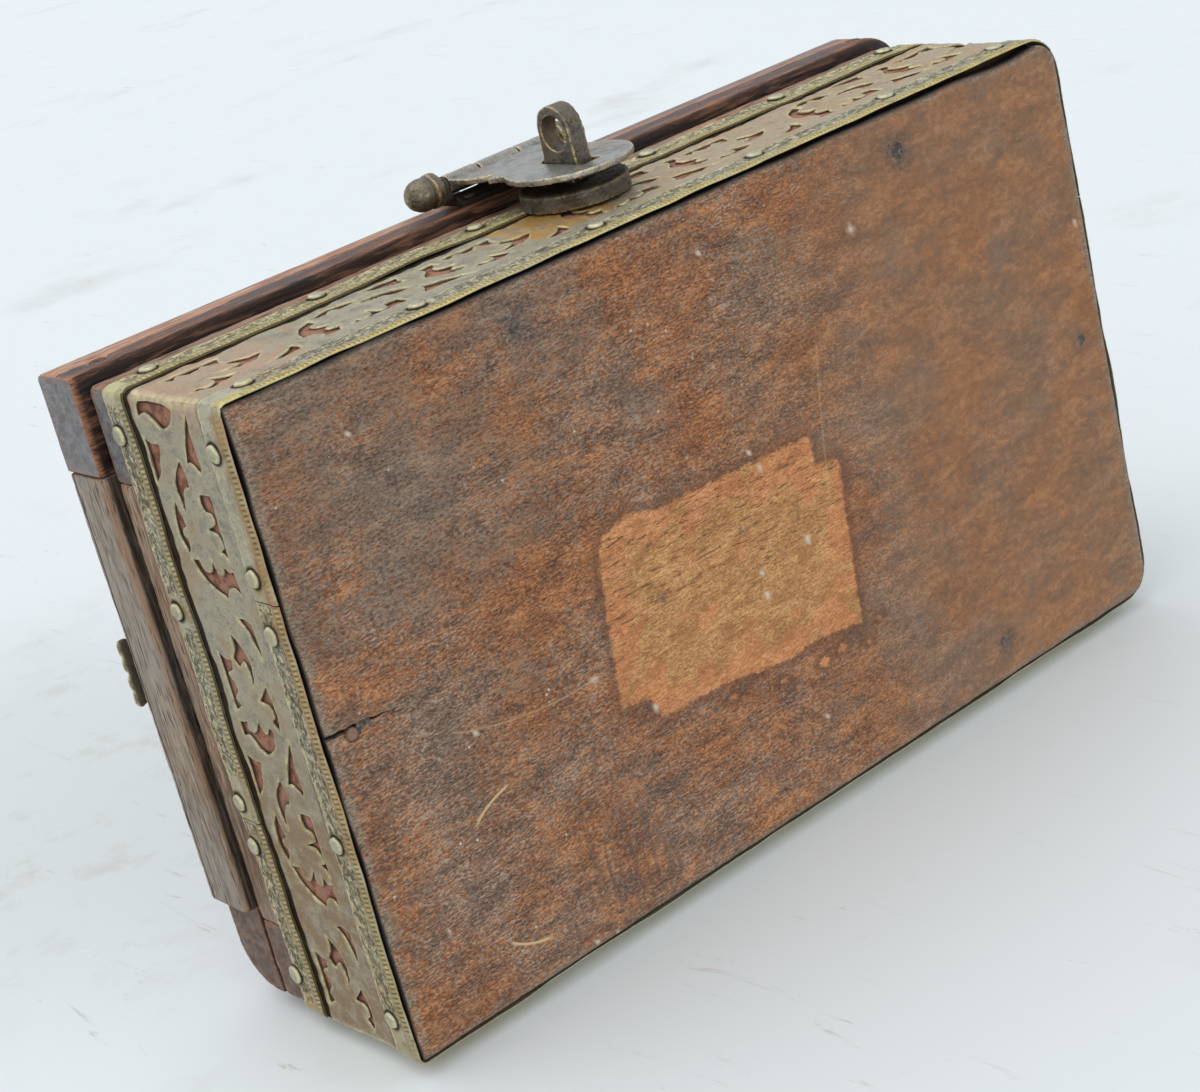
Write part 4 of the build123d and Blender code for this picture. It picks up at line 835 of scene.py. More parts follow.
def curve(points, steps=7):
    """A smooth line through the points, without its last point."""
    points = np.array(points, dtype=float)
    if len(points) == 2:
        return [points[0]]
    padded = np.concatenate([[2 * points[0] - points[1]], points, [2 * points[-1] - points[-2]]])
    line = []
    for before, start, end, after in zip(padded, padded[1:], padded[2:], padded[3:]):
        for share in np.arange(steps) / steps:
            line.append(0.5 * (2 * start + (end - before) * share
                               + (2 * before - 5 * start + 4 * end - after) * share ** 2
                               + (3 * start - before - 3 * end + after) * share ** 3))
    return line


def closed_line(opening):
    """An opening's whole edge as a closed line of points."""
    sides = zip(opening, opening[1:] + opening[:1])
    return np.array([point for side, after in sides for point in curve(side + after[:1])])


def vine_cuts(vine_run, start, end):
    """The cut edges of every opening that fits between two runs, as pairs of (run, height) ends."""
    rise = (upper_low[2] - lower_high[2]) / vine_drawn_height
    first = int((start - vine_run) // vine_pitch)
    last = int((end - vine_run) // vine_pitch) + 2
    cuts = []
    for repeat in range(first, last + 1):
        shift = vine_run + repeat * vine_pitch
        for opening in vine_openings + [joining_opening, corner_opening]:
            # the bean is cut only at the front left corner, where the runs end
            if opening is corner_opening and shift < path_length - 3:
                continue
            loop = closed_line(opening)
            loop = np.stack([shift - loop[:, 0], lower_high[2] + loop[:, 1] * rise], axis=-1)
            # only openings that are whole and clear of the sheet's ends
            if loop[:, 0].min() < start + 0.8 or loop[:, 0].max() > end - 0.3:
                continue
            cuts.append(np.concatenate([loop, np.roll(loop, -1, axis=0)], axis=1))
    return np.concatenate(cuts)


def signed_field(cuts, runs, heights):
    """Distance to the nearest cut edge at each grid point: positive on metal, negative in openings."""
    samples = []
    for run, height, end_run, end_height in cuts:
        along, up = end_run - run, end_height - height
        for share in np.linspace(0, 1, max(2, int(np.hypot(along, up) / cut_sample_step) + 1)):
            samples.append((run + share * along, height + share * up, 0))
    tree = kdtree.KDTree(len(samples))
    for index, sample in enumerate(samples):
        tree.insert(sample, index)
    tree.balance()
    field = np.array([[tree.find((run, height, 0))[2] for height in heights] for run in runs])
    for column, height in enumerate(heights):
        spans = (cuts[:, 1] > height) != (cuts[:, 3] > height)
        run, low, end_run, high = cuts[spans].T
        crossings = np.sort(run + (height - low) / (high - low) * (end_run - run))
        inside = np.searchsorted(crossings, runs) % 2 == 1
        field[inside, column] *= -1
    return field


def sheet_faces(field):
    """Grid cells where the field is positive, cut cleanly where it changes sign.
    Returns grid places with fractions, and faces."""
    metal = field > 0
    numbers = np.full(field.shape, -1)
    numbers[metal] = np.arange(metal.sum())
    places = [(float(i), float(j)) for i, j in zip(*np.nonzero(metal))]
    crossings = {}

    def crossing(a, b):
        key = (min(a, b), max(a, b))
        if key not in crossings:
            share = min(max(field[a] / (field[a] - field[b]), 0.04), 0.96)
            places.append((a[0] + share * (b[0] - a[0]), a[1] + share * (b[1] - a[1])))
            crossings[key] = len(places) - 1
        return crossings[key]

    corners = metal[:-1, :-1], metal[1:, :-1], metal[1:, 1:], metal[:-1, 1:]
    full, some = np.all(corners, axis=0), np.any(corners, axis=0)
    faces = [(numbers[i, j], numbers[i + 1, j], numbers[i + 1, j + 1], numbers[i, j + 1])
             for i, j in zip(*np.nonzero(full))]
    for i, j in zip(*np.nonzero(some & ~full)):
        ring = [(i, j), (i + 1, j), (i + 1, j + 1), (i, j + 1)]
        face = []
        for a, b in zip(ring, ring[1:] + ring[:1]):
            if metal[a]:
                face.append(numbers[a])
            if metal[a] != metal[b]:
                face.append(crossing(a, b))
        if len(face) > 2:
            faces.append(face)
    return np.array(places), [tuple(int(corner) for corner in face) for face in faces]


def grid_faces(rows, columns):
    """The faces between the points of a grid whose points are numbered along its columns."""
    corners = [i * columns + j for i in range(rows - 1) for j in range(columns - 1)]
    return [(a, a + columns, a + columns + 1, a + 1) for a in corners]


def thick_sheet(faces, count):
    """Both sides of a sheet and its rim: the second side's points follow the first's."""
    edges = {}
    for face in faces:
        for a, b in zip(face, face[1:] + face[:1]):
            if (b, a) in edges:
                del edges[(b, a)]
            else:
                edges[(a, b)] = True
    inner = [tuple(corner + count for corner in reversed(face)) for face in faces]
    rim = [(b, a, a + count, b + count) for a, b in edges]
    return faces + inner + rim


def strip_lift(run, lower):
    """How far a strip stands up and out from its straight place: it was bent on by hand."""
    x = run - corner_runs["front_start"] - half_length + left_corner_radius
    up = 0.18 * wobble(run[:, None], 46.0, 60 + lower) + 0.06 * wobble(run[:, None], 13.0, 62 + lower)
    out = 0.05 * wobble(run[:, None], 30.0, 64 + lower)
    if lower:
        return up, out + 0.12 * smoothstep(-60.0, -30.0, x) * (x < half_length)
    # the upper strip is sprung up and out left of the latch, and sags along the left end
    sprung = hump(-43.0, 17.0, x)
    left = (run > corner_runs["left_start"] - 1) & (run <= path_length)
    sag = np.where(left, 1.5 * smoothstep(62.0, 146.0, path_length - run), 0.0)
    return up + 1.1 * sprung - sag, out + 0.35 * sprung


sheet_step = 0.42               # the finest faces of the bands, backings and strips
backing_step = 0.8
backing_rows = 38
strip_step = 0.2


def sheet_shelter(run, height):
    """How far each point of a sheet lies under the upper strip, and under either strip, 0 to 1."""
    flat_points = np.stack([run, height], axis=-1)
    strip_foot = upper_low[2] + strip_lift(np.mod(run, path_length), 0)[0]
    under_upper = smoothstep(-2.5, -1.7, height - strip_foot + 0.25 * wobble(flat_points, 11.0, 6))
    under_lower = 0.5 * smoothstep(lower_high[2] + 0.8, lower_high[2], height)
    return under_upper, np.maximum(under_lower, under_upper)


def sheet_wear(run, depth, flat_points):
    """How rubbed a sheet is: along its cut rims and at the case's sharp corners."""
    worn = np.exp(-(depth / 0.55) ** 2) * (0.75 + 0.25 * wobble(flat_points, 3.0, 5))
    off_mitre = np.abs(run - corner_runs["back_mitre"])
    off_corner = np.minimum(np.minimum(np.abs(run), np.abs(path_length - run)), off_mitre)
    worn = np.maximum(worn, hump(0.0, 1.5, off_corner) * (0.8 + 0.3 * wobble(flat_points, 3.0, 9)))
    return np.clip(worn, 0, 1)


def pierced_band(node, start, end, vine_run):
    """One side's brass sheet, with the vine's openings cut through and their rims dressed.
    Returns the field of its openings, for the backing."""
    runs = np.linspace(start, end, int((end - start) / sheet_step) + 1)
    heights = np.linspace(band_low[2], band_high[2], int((band_high[2] - band_low[2]) / sheet_step) + 1)
    field = signed_field(vine_cuts(vine_run, start, end), runs, heights)
    places, faces = sheet_faces(field)
    run = np.interp(places[:, 0], np.arange(len(runs)), runs)
    height = np.interp(places[:, 1], np.arange(len(heights)), heights)
    on_edge = (places % 1 > 0).any(axis=1)
    nearest = np.round(places).astype(int)
    depth = np.where(on_edge, 0.0, field[nearest[:, 0], nearest[:, 1]])
    flat_points = np.stack([run, height], axis=-1)
    swell = 0.10 * wobble(flat_points, 24.0, 3) + 0.05 * wobble(flat_points, 6.0, 4)
    rim = np.exp(-((depth - 0.35) / 0.5) ** 2) - np.exp(-(depth / 0.22) ** 2)
    under_upper, under_strip = sheet_shelter(run, height)
    outer = band_out + swell + 0.2 * rim + 0.12 * smoothstep(0.6, 3.0, depth) - 0.25 * under_upper
    inner = np.full(len(run), band_out - 0.4)
    points = np.concatenate([on_path(run, outer, height), on_path(run, inner, height)])
    mesh = new_mesh(node, points, thick_sheet(faces, len(run)))
    worn = sheet_wear(run, depth, flat_points)
    # painted shadow under the strips, and painted shade on the sheet's back
    add_traits(mesh, worn=np.concatenate([worn * (1 - under_strip), worn * 0.4]),
               hollow=np.concatenate([under_strip, np.full(len(run), 0.8)]))
    add_piece(node + "_openwork", mesh, "band", [node], crisp=50)
    return field, runs, heights


def nearest_index(values, marks):
    """The number of the evenly spaced mark nearest to each value."""
    places = np.round(np.interp(values, marks, np.arange(len(marks)))).astype(int)
    return np.clip(places, 0, len(marks) - 1)


def backing(node, start, end, field, runs, heights):
    """The red sheet behind one side, with painted shade along the metal's edges and under it."""
    low, high = span(node)
    run = np.linspace(start, end, int((end - start) / backing_step) + 1)
    height = np.linspace(low[2], high[2], backing_rows)
    flat_points = np.stack(np.meshgrid(run, height, indexing="ij"), axis=-1).reshape(-1, 2)
    front = on_path(flat_points[:, 0], 0.10 + 0.05 * wobble(flat_points, 9.0, 21), flat_points[:, 1])
    rear = on_path(flat_points[:, 0], 0.01, flat_points[:, 1])
    faces = thick_sheet(grid_faces(len(run), len(height)), len(front))
    mesh = new_mesh(node, np.concatenate([front, rear]), faces)
    i, j = nearest_index(flat_points[:, 0], runs), nearest_index(flat_points[:, 1], heights)
    inside = np.maximum(-field[i, j], 0)
    above = np.clip(j + 2, 0, len(heights) - 1)
    sheltered = smoothstep(-0.5, 0.3, field[i, above])
    # painted shade along the openings' edges, and painted shadow just below the metal
    dirt_and_shade = np.maximum(np.exp(-inside / 0.45), 0.9 * sheltered)
    add_traits(mesh, hollow=np.concatenate([dirt_and_shade, dirt_and_shade]))
    return add_piece(node + "_sheet", mesh, "backing", [node])


# where each side's sheet runs, and the run at which its vine starts
band_sides = {
    "front": (0.0, corner_runs["right_start"], run_on_front(-44.0)),
    "right": (corner_runs["right_start"], corner_runs["right_end"], run_on_right(41.0)),
    "back": (corner_runs["right_end"], corner_runs["back_mitre"], run_on_back(-18.0)),
    "left": (corner_runs["back_mitre"], path_length, run_on_left(-72.75)),
}
for side, sheet in band_sides.items():
    openings = pierced_band(f"{side}_pierced_band", *sheet)
    backing(f"{side}_backing", corner_runs[f"{side}_start"], corner_runs[f"{side}_end"], *openings)


# ---------------------------------------------------------------- milled edging strips
bead_pitch = 1.12
bead_height = 2.2
cell_pitch = 5.4                # one chased leaf to the next
dot_pitch = 0.95


def way_round(start, end):
    """The shorter way round the case from one run to another, positive anticlockwise."""
    return np.mod(end - start + path_length / 2, path_length) - path_length / 2


def engraving(run, height, width):
    """Depth, 0 to 1, of the chased leaves between the bead and the strip's upper edge."""
    across = np.mod(run / cell_pitch, 1.0)
    up = (height - bead_height - 0.5) / (width - bead_height - 1.5)

    def stroke(distance, half):
        return 1 - smoothstep(half * 0.4, half, np.abs(distance))

    deep = stroke(across - 0.06 - 0.3 * up, 0.08)
    crescent = np.hypot((across - 0.55) * 2.2, up - 0.1) - 0.62
    deep = np.maximum(deep, stroke(crescent, 0.16))
    for lean, foot in ((1.5, 0.2), (-0.9, 0.88), (1.2, 0.55)):
        tick = across - foot - lean * 0.26 * up
        deep = np.maximum(deep, stroke(tick, 0.07) * smoothstep(0.05, 0.25, up) * (up < 0.85))
    return deep * smoothstep(0.0, 0.12, up) * (1 - smoothstep(0.86, 1.0, up))


def strip_relief(run, row, width, lower, bare):
    """A strip's ribbed bead, chased leaves and dotted upper line: how far each point stands out, then
    how worn it is, how dark with dirt and painted shade, and how beaded and chased."""
    plain = np.zeros(run.shape)
    for middle, reach in bare:
        plain = np.maximum(plain, 1 - smoothstep(reach * 0.8, reach, np.abs(way_round(middle, run))))
    rib = np.sin(np.pi * np.mod(run / bead_pitch + 0.16 * (row - 1.5), 1.0)) ** 0.8
    bead_share = row / bead_height
    in_bead = smoothstep(0.02, 0.25, bead_share) * (1 - smoothstep(0.86, 1.0, bead_share))
    ribbed = (1 - 0.7 * plain) * (1 - 0.55 * smoothstep(0.4, 0.9, bead_share))
    groove = in_bead * (1 - rib) * ribbed
    chased = (1 - plain) * smoothstep(bead_height, bead_height + 0.4, row)
    chased = chased * (1 - smoothstep(width - 0.9, width - 0.6, row))
    if lower:
        joint = run_on_left(lower_joint_y)
        chased = chased * (1 - 0.7 * smoothstep(joint, joint + 0.5, run))
    deep = 0.5 * engraving(run, row, width) * chased
    dots = np.abs(np.sin(np.pi * run / dot_pitch)) * np.exp(-((row - width + 0.7) / 0.3) ** 2)
    crown = np.sqrt(np.clip(1 - (2 * np.clip(bead_share, 0, 1) - 1) ** 2, 0, 1))
    out = strip_out + np.where(bead_share < 1, 0.12 * crown, 0.0)
    out = out - 0.30 * groove + 0.06 * in_bead * rib - 0.09 * deep + 0.10 * dots * (1 - plain)
    out = out - 0.22 * smoothstep(0.35, 0.0, row) - 0.18 * smoothstep(width - 0.3, width, row)
    worn = 0.7 * in_bead * rib * ribbed * (1 - 0.5 * smoothstep(0.3, 0.8, bead_share)) + 0.4 * dots
    worn = worn + 0.45 * chased * (1 - deep) + 0.9 * smoothstep(width - 0.7, width - 0.3, row)
    dirt_and_shade = 0.9 * groove + 0.85 * deep + hump(bead_height + 0.2, 0.5, row) * 0.35
    # painted shadow along the upper strip's lower edge
    dirt_and_shade = dirt_and_shade + (0.0 if lower else 0.9) * smoothstep(0.3, 0.1, row)
    return out, worn, dirt_and_shade, in_bead * (1 - 0.5 * plain), chased


def strip_faces(stations, across):
    """A strip's shaped outside as a grid, its flat inside as two more points a station, and its ends."""
    faces = grid_faces(stations, across)
    inside = stations * across
    for i in range(stations - 1):
        bottom, top = i * across, i * across + across - 1
        inner_bottom, inner_top = inside + 2 * i, inside + 2 * i + 1
        faces.append((top, top + across, inner_top + 2, inner_top))
        faces.append((inner_top, inner_top + 2, inner_bottom + 2, inner_bottom))
        faces.append((inner_bottom, inner_bottom + 2, bottom + across, bottom))
    for i, turn in ((0, 1), (stations - 1, -1)):
        ring = [i * across + j for j in range(across)] + [inside + 2 * i + 1, inside + 2 * i]
        faces.append(tuple(ring[::turn]))
    return faces


def edging_strip(name, side, lower, start, end, bare):
    """One brass strip along the case: a ribbed bead, chased leaves and a dotted upper line."""
    node = f"{name}_edging_{side}"
    low, high = span(node)
    width = high[2] - low[2]
    run = np.linspace(start, end, int((end - start) / strip_step) + 1)
    rows = np.concatenate([[0.0, 0.12], np.linspace(0.4, bead_height, 10),
                           np.linspace(bead_height + 0.3, width - 0.15, 15), [width]])
    grid_run, grid_row = (grid.ravel() for grid in np.meshgrid(run, rows, indexing="ij"))
    wrapped = np.mod(grid_run, path_length)
    out, worn, dirt_and_shade, bead, chased = strip_relief(wrapped, grid_row, width, lower, bare)
    flat_points = np.stack([grid_run, grid_row], axis=-1)
    up, lift = strip_lift(np.mod(run, path_length), lower)
    ragged = 0.06 * wobble(run[:, None], 2.2, 68)
    height = low[2] + grid_row + np.repeat(up, len(rows))
    height = height + np.repeat(ragged, len(rows)) * (grid_row / width) ** 3
    out = out + 0.025 * wobble(flat_points, 2.4, 66) + np.repeat(lift, len(rows))
    outer = on_path(grid_run, out, height)
    inner_height = np.stack([low[2] + up, low[2] + width + up], axis=-1).ravel()
    inner = on_path(np.repeat(run, 2), band_out + 0.02 + np.repeat(lift, 2), inner_height)
    mesh = new_mesh(node, np.concatenate([outer, inner]), strip_faces(len(run), len(rows)))
    worn = worn * (0.85 + 0.25 * wobble(flat_points, 7.0, 69))
    # a painted shadow ring round each tack
    for run_there, height_there in tack_spots(f"{name}_edging_tacks"):
        away = np.hypot(way_round(run_there, wrapped), height - height_there)
        dirt_and_shade = np.maximum(dirt_and_shade, 1 - smoothstep(2.2, 3.1, away))

    def whole(outside, inside):
        return np.concatenate([outside, np.full(len(inner), inside)])

    add_traits(mesh, worn=whole(np.clip(worn, 0, 1), 0.3), hollow=whole(np.clip(dirt_and_shade, 0, 1), 0.5),
               bead=whole(bead, 0.0), chased=whole(chased, 0.0))
    return add_piece(node + "_milled", mesh, "edging", [node], crisp=60)


def strip_ends(joint_y, gap):
    """Where the front strip and the back strip start and end, either side of the joints."""
    left, right = run_on_left(joint_y), run_on_right(joint_y)
    return (left + gap - path_length, right - gap), (right + gap, left - gap)


# ---------------------------------------------------------------- tacks and nails
def islands(node):
    """The separate solids in a node, each as its points."""
    mesh = frame["nodes"][node].data
    points = mesh_points(mesh)
    keys = {}
    parent = list(range(len(points)))

    def root(index):
        while parent[index] != index:
            parent[index] = parent[parent[index]]
            index = parent[index]
        return index

    for index, point in enumerate(points):
        key = tuple(np.round(point, 3))
        if key in keys:
            parent[root(index)] = root(keys[key])
        else:
            keys[key] = index
    for edge in mesh.edges:
        parent[root(edge.vertices[0])] = root(edge.vertices[1])
    groups = {}
    for index in range(len(points)):
        groups.setdefault(root(index), []).append(index)
    return [points[indices] for indices in groups.values()]


def head_places(node):
    """For each tack or nail: the middle of its head's outer face, and the way it points out."""
    places = []
    for points in islands(node):
        low, high = points.min(axis=0), points.max(axis=0)
        size = high - low
        axis = int(np.argmax(size))
        across = [other for other in range(3) if other != axis]
        middle = (low + high) / 2
        reach = np.linalg.norm(points[:, across] - middle[across], axis=1)
        head = points[reach > reach.max() - 0.1]
        sign = 1 if head[:, axis].mean() > middle[axis] else -1
        way = np.zeros(3)
        way[axis] = sign
        place = middle.copy()
        place[axis] = high[axis] if sign > 0 else low[axis]
        places.append((place, way))
    return places


def tack_spots(node):
    """Where each tack of an edging sits: its run round the case and its height."""
    spots = []
    for place, way in head_places(node):
        if abs(way[1]) > 0.5:
            spots.append((run_on_front(place[0]) if way[1] < 0 else run_on_back(place[0]), place[2]))
        else:
            spots.append((run_on_left(place[1]) if way[0] < 0 else run_on_right(place[1]), place[2]))
    return spots


for name, lower, joint_y in (("lower", 1, lower_joint_y), ("upper", 0, upper_joint_y)):
    ends = strip_ends(joint_y, joint_half_gap)
    corner_reach = 8.0 if lower else 2.5
    bare = [(0.0, corner_reach), (corner_runs["back_mitre"], corner_reach), (run_on_left(joint_y - 5), 6.0),
            (run_on_left(-24.0), 0.1 if lower else 4.0)]
    for side, (start, end) in zip(("front", "back"), ends):
        edging_strip(name, side, lower, start, end, bare)


ring_count = 9
segment_count = 28
ring_shares = np.arange(ring_count) / (ring_count - 1)


def dome_points(place, way, rng, radius, height, flatness, body_depth):
    """One uneven head's rings of points from its foot to its crown, then the ring under its foot."""
    side = np.cross(way, (0.31, 0.52, 0.79))
    side /= np.linalg.norm(side)
    axes = np.stack([side, np.cross(way, side)])
    tilt = rng.normal(0, 0.05, 2)
    size = radius * rng.uniform(0.92, 1.07)
    squash = rng.uniform(0.9, 1.0)
    phase = rng.uniform(0, 2 * math.pi)
    foot = place - way * height
    angle = 2 * math.pi * np.arange(segment_count) / segment_count
    lump = size * (1 + 0.035 * np.sin(2 * angle + phase) + 0.025 * np.sin(5 * angle + 2 * phase))
    outline = np.stack([lump * np.cos(angle), lump * squash * np.sin(angle)], axis=-1)
    points = []
    for share in ring_shares:
        flat = outline * math.cos(share * math.pi / 2) ** flatness
        rise = (height - 0.03) * math.sin(share * math.pi / 2) - 0.3 * (1 - share) * (flat @ tilt)
        points.append(foot + flat @ axes + rise[:, None] * way)
    return np.concatenate(points + [foot + 0.96 * outline @ axes - way * body_depth])


def dome_faces():
    """The faces of one head: its rings, the ring down from its foot, its crown and its underside."""
    under = ring_count * segment_count
    faces = []
    for segment in range(segment_count):
        after = (segment + 1) % segment_count
        for a in range(0, under - segment_count, segment_count):
            faces.append((a + segment, a + after, a + segment_count + after, a + segment_count + segment))
        faces.append((under + segment, under + after, after, segment))
    faces.append(tuple(range(under - segment_count, under)))
    faces.append(tuple(reversed(range(under, under + segment_count))))
    return faces


def domes(node, look, radius, height, flatness, seed, body_depth):
    """Hand-made round heads in place of a node's tacks or nails, each a little different."""
    rng = np.random.default_rng(seed)
    heads = [dome_points(place, way, rng, radius, height, flatness, body_depth)
             for place, way in head_places(node)]
    faces = [tuple(order * len(heads[0]) + corner for corner in face)
             for order in range(len(heads)) for face in dome_faces()]
    mesh = new_mesh(node, np.concatenate(heads), faces)
    share = np.repeat(ring_shares, segment_count)
    under = np.ones(segment_count)
    worn = np.concatenate([0.3 + 0.7 * hump(0.5, 0.4, share), 0.1 * under])
    # painted shade round each head's foot and on its underside
    hollow = np.concatenate([1 - smoothstep(0.0, 0.28, share), under])
    add_traits(mesh, worn=np.tile(worn, len(heads)), hollow=np.tile(hollow, len(heads)))
    return add_piece(node + "_heads", mesh, look, [node], crisp=60)


for order, node in enumerate(("lower_edging_tacks", "upper_edging_tacks", "hinge_case_tacks",
                              "hinge_lid_tacks", "lid_strap_tacks", "hasp_bracket_tacks")):
    domes(node, "bracket" if node == "hasp_bracket_tacks" else "tack",
          radius=1.98, height=0.9, flatness=0.42, seed=100 + order, body_depth=0.6)
for order, node in enumerate(("bottom_nails", "case_corner_nails", "lid_corner_nails", "lid_panel_nails")):
    domes(node, "iron" if node == "bottom_nails" else "oiled_iron",
          radius=2.05, height=0.35, flatness=0.3, seed=200 + order, body_depth=0.5)


# ---------------------------------------------------------------- bottom board
def board_lines():
    """Grid lines of the underside, closer together round the crack and the left edge."""
    near, far = crack_y - 3.5, crack_y + 3.5
    xs = np.concatenate([np.arange(bottom_low[0], crack_end_x, 0.45),
                         np.arange(crack_end_x, bottom_high[0], 1.0), [bottom_high[0]]])
    ys = np.concatenate([np.arange(bottom_low[1], near, 1.0), np.arange(near, far, 0.16),
                         np.arange(far, bottom_high[1], 1.0), [bottom_high[1]]])
    return xs, ys


def rounded_corners(x, y):
    """Pulls the grid's right corners onto their arcs."""
    radius = right_corner_radius - 0.4
    for sign in (-1, 1):
        centre_x, centre_y = bottom_high[0] - radius, sign * (bottom_high[1] - radius)
        reach_x, reach_y = x - centre_x, (y - centre_y) * sign
        outside = (reach_x > 0) & (reach_y > 0)
        square = np.maximum(reach_x, reach_y)
        circle = np.maximum(np.hypot(reach_x, reach_y), 1e-6)
        x = np.where(outside, centre_x + reach_x / circle * square, x)
        y = np.where(outside, centre_y + sign * reach_y / circle * square, y)
    return x, y


def uneven_edges(x, y):
    """Moves the plank's front and left edges, which don't quite follow the brass."""
    front_gap = -0.7 + 0.4 * smoothstep(-85.0, -55.0, x) + 0.35 * smoothstep(0.0, 70.0, x)
    front_gap = front_gap + 0.6 * smoothstep(75.0, 100.0, x) - 0.8 * smoothstep(104.0, 116.0, x)
    front_gap = np.maximum(front_gap + 0.08 * wobble(x[:, None], 30.0, 80), -0.75)
    left_gap = np.maximum(-0.5 + 0.08 * wobble(y[:, None], 30.0, 81), -0.7)
    return (x + left_gap * smoothstep(8.0, 0.0, x - bottom_low[0]),
            y + front_gap * smoothstep(9.0, 0.0, y - bottom_low[1]))


def spot(away, reach, core):
    """1 within a share of the reach, falling smoothly to 0 at the reach."""
    return 1 - smoothstep(core * reach, reach, away)


def crack_line(x, y, peg_away):
    """How far each point is from the crack's wandering line, and how open the crack is there."""
    off = y - (crack_y + 0.14 * wobble(x[:, None], 5.0, 85) + 0.06 * (x - crack_end_x) * (x < crack_end_x))
    half = np.maximum(0.42 * smoothstep(crack_end_x, -116.0, x), 0.05)
    crack = np.exp(-(off / half) ** 2) * (x < crack_end_x)
    return off, crack * smoothstep(peg_radius - 0.3, peg_radius, peg_away)


def nail_marks(x, y):
    """How deep each nail is sunk, and the iron stain round it, darkest at the front and at the right."""
    pit, stain = np.zeros(len(x)), np.zeros(len(x))
    for nail_x, nail_y in nail_places:
        away = np.hypot(x - nail_x, y - nail_y)
        pit = pit + 0.28 * (1 - smoothstep(1.9, 3.2, away))
        strength = 0.85 if nail_x > 0 or nail_y < 0 else 0.5
        if abs(nail_x) > 100:
            strength = 0.35
        fade = spot(away, 7.0 if nail_y < 0 else 4.8, 0.5) * (1 - 0.3 * smoothstep(1.0, 3.4, away))
        stain = np.maximum(stain, strength * fade)
    return pit, stain


def plank_mesh(points, rows, columns):
    """The underside's grid with plain sides up to its top: two more rings of points round its border."""
    border = [i * columns for i in range(rows)]
    border += [(rows - 1) * columns + j for j in range(1, columns)]
    border += [i * columns + columns - 1 for i in range(rows - 2, -1, -1)]
    border += list(range(columns - 2, 0, -1))
    middle, top = points[border].copy(), points[border].copy()
    middle[:, 2] = (middle[:, 2] + bottom_high[2]) / 2
    top[:, 2] = bottom_high[2] - 0.01
    count, size = len(points), len(border)
    faces = [(a, d, c, b) for a, b, c, d in grid_faces(rows, columns)]
    for k in range(size):
        after = (k + 1) % size
        faces.append((border[k], border[after], count + after, count + k))
        faces.append((count + k, count + after, count + size + after, count + size + k))
    faces.append(tuple(count + size + k for k in range(size)))
    mesh = new_mesh("bottom_board", np.concatenate([points, middle, top]), faces)
    mesh.validate()
    return mesh, size


def bottom_board():
    """The plank under the case, with its crack, worn edges, nail pits and the gap along the front strip."""
    xs, ys = board_lines()
    x, y = rounded_corners(*(grid.ravel() for grid in np.meshgrid(xs, ys, indexing="ij")))
    edge_x = np.minimum(x - bottom_low[0], bottom_high[0] - x)
    edge = np.minimum(edge_x, np.minimum(y - bottom_low[1], bottom_high[1] - y))
    x, y = uneven_edges(x, y)
    plan = np.stack([x, y], axis=-1)
    peg_away = np.hypot(x - peg_place[0], y - peg_place[1])
    peg_ring = hump(peg_radius, 0.45, peg_away)
    off_crack, crack = crack_line(x, y, peg_away)
    pit, stain = nail_marks(x, y)
    below_peg = np.hypot(x - peg_place[0] - 1, y - peg_place[1] + 4)
    stain = np.maximum(stain, 0.5 * spot(below_peg, 5.0, 0.2))
    for blot_x, blot_y, size, strength in blots:
        away = np.hypot((x - blot_x) * 1.3, y - blot_y)
        stain = np.maximum(stain, strength * spot(away, size, 0.3))
    patch = polygon_distance(plan, patch_corners)
    for flake_x, flake_y, size in flakes:
        patch = np.maximum(patch, size - np.hypot(x - flake_x, (y - flake_y) * 1.4))
    chip = np.zeros(len(x))
    for chip_x, chip_y, size in chips:
        chip = np.maximum(chip, spot(np.hypot(x - chip_x, y - chip_y), size, 0.35))
    depth = 0.5 * smoothstep(0.9, 0.0, edge) ** 2 + 0.12 * smoothstep(7.0, 0.0, edge) + 0.10
    depth = depth + 0.06 * wobble(plan, 18.0, 82) + 0.03 * wobble(plan, 4.0, 83)
    grooves = wobble(plan * np.array([0.08, 1.0]), 1.6, 84)
    depth = depth + 0.02 * grooves + 1.1 * crack * smoothstep(crack_end_x, -112.0, x) + pit
    depth = np.clip(depth + 0.3 * peg_ring - 0.05 * chip, 0.0, 3.0)
    mesh, size = plank_mesh(np.stack([x, y, bottom_low[2] + depth], axis=-1), len(xs), len(ys))
    rim = smoothstep(2.4, 0.4, edge) * (0.5 + 0.5 * smoothstep(40.0, 100.0, x))
    lip = hump(-0.7, 0.6, off_crack) * (x < crack_end_x) * 0.8
    # painted shade in the crack, round the peg, at the board's very edge and on its sides
    dark = np.clip(crack * 1.3 + 0.8 * peg_ring + smoothstep(0.35, 0.0, edge), 0, 1)

    def whole(under, middle=0, top=0):
        return np.concatenate([under, np.full(size, middle), np.full(size, top)])

    add_traits(mesh, patch=whole(np.clip(patch, -12, 12), -12, -12), stain=whole(stain), chip=whole(chip),
               hollow=whole(dark, 1), peg=whole(0.8 * smoothstep(peg_radius, peg_radius - 0.3, peg_away)),
               rim=whole(np.max([rim, lip, 0.9 * smoothstep(2.8, 1.2, edge_x)], axis=0)),
               dust=whole(hump(-90.0, 95.0, x) * hump(-52.0, 58.0, y)),
               streaks=whole(hump(-56.0, 30.0, x) * smoothstep(36.0, 52.0, y)))
    return add_piece("bottom_board_plank", mesh, "underside", ["bottom_board"], crisp=70)


bottom_board()


# ---------------------------------------------------------------- boards, rails and panel
lid_low, lid_high = span("lid_front_rail")
lid_round = 2.8


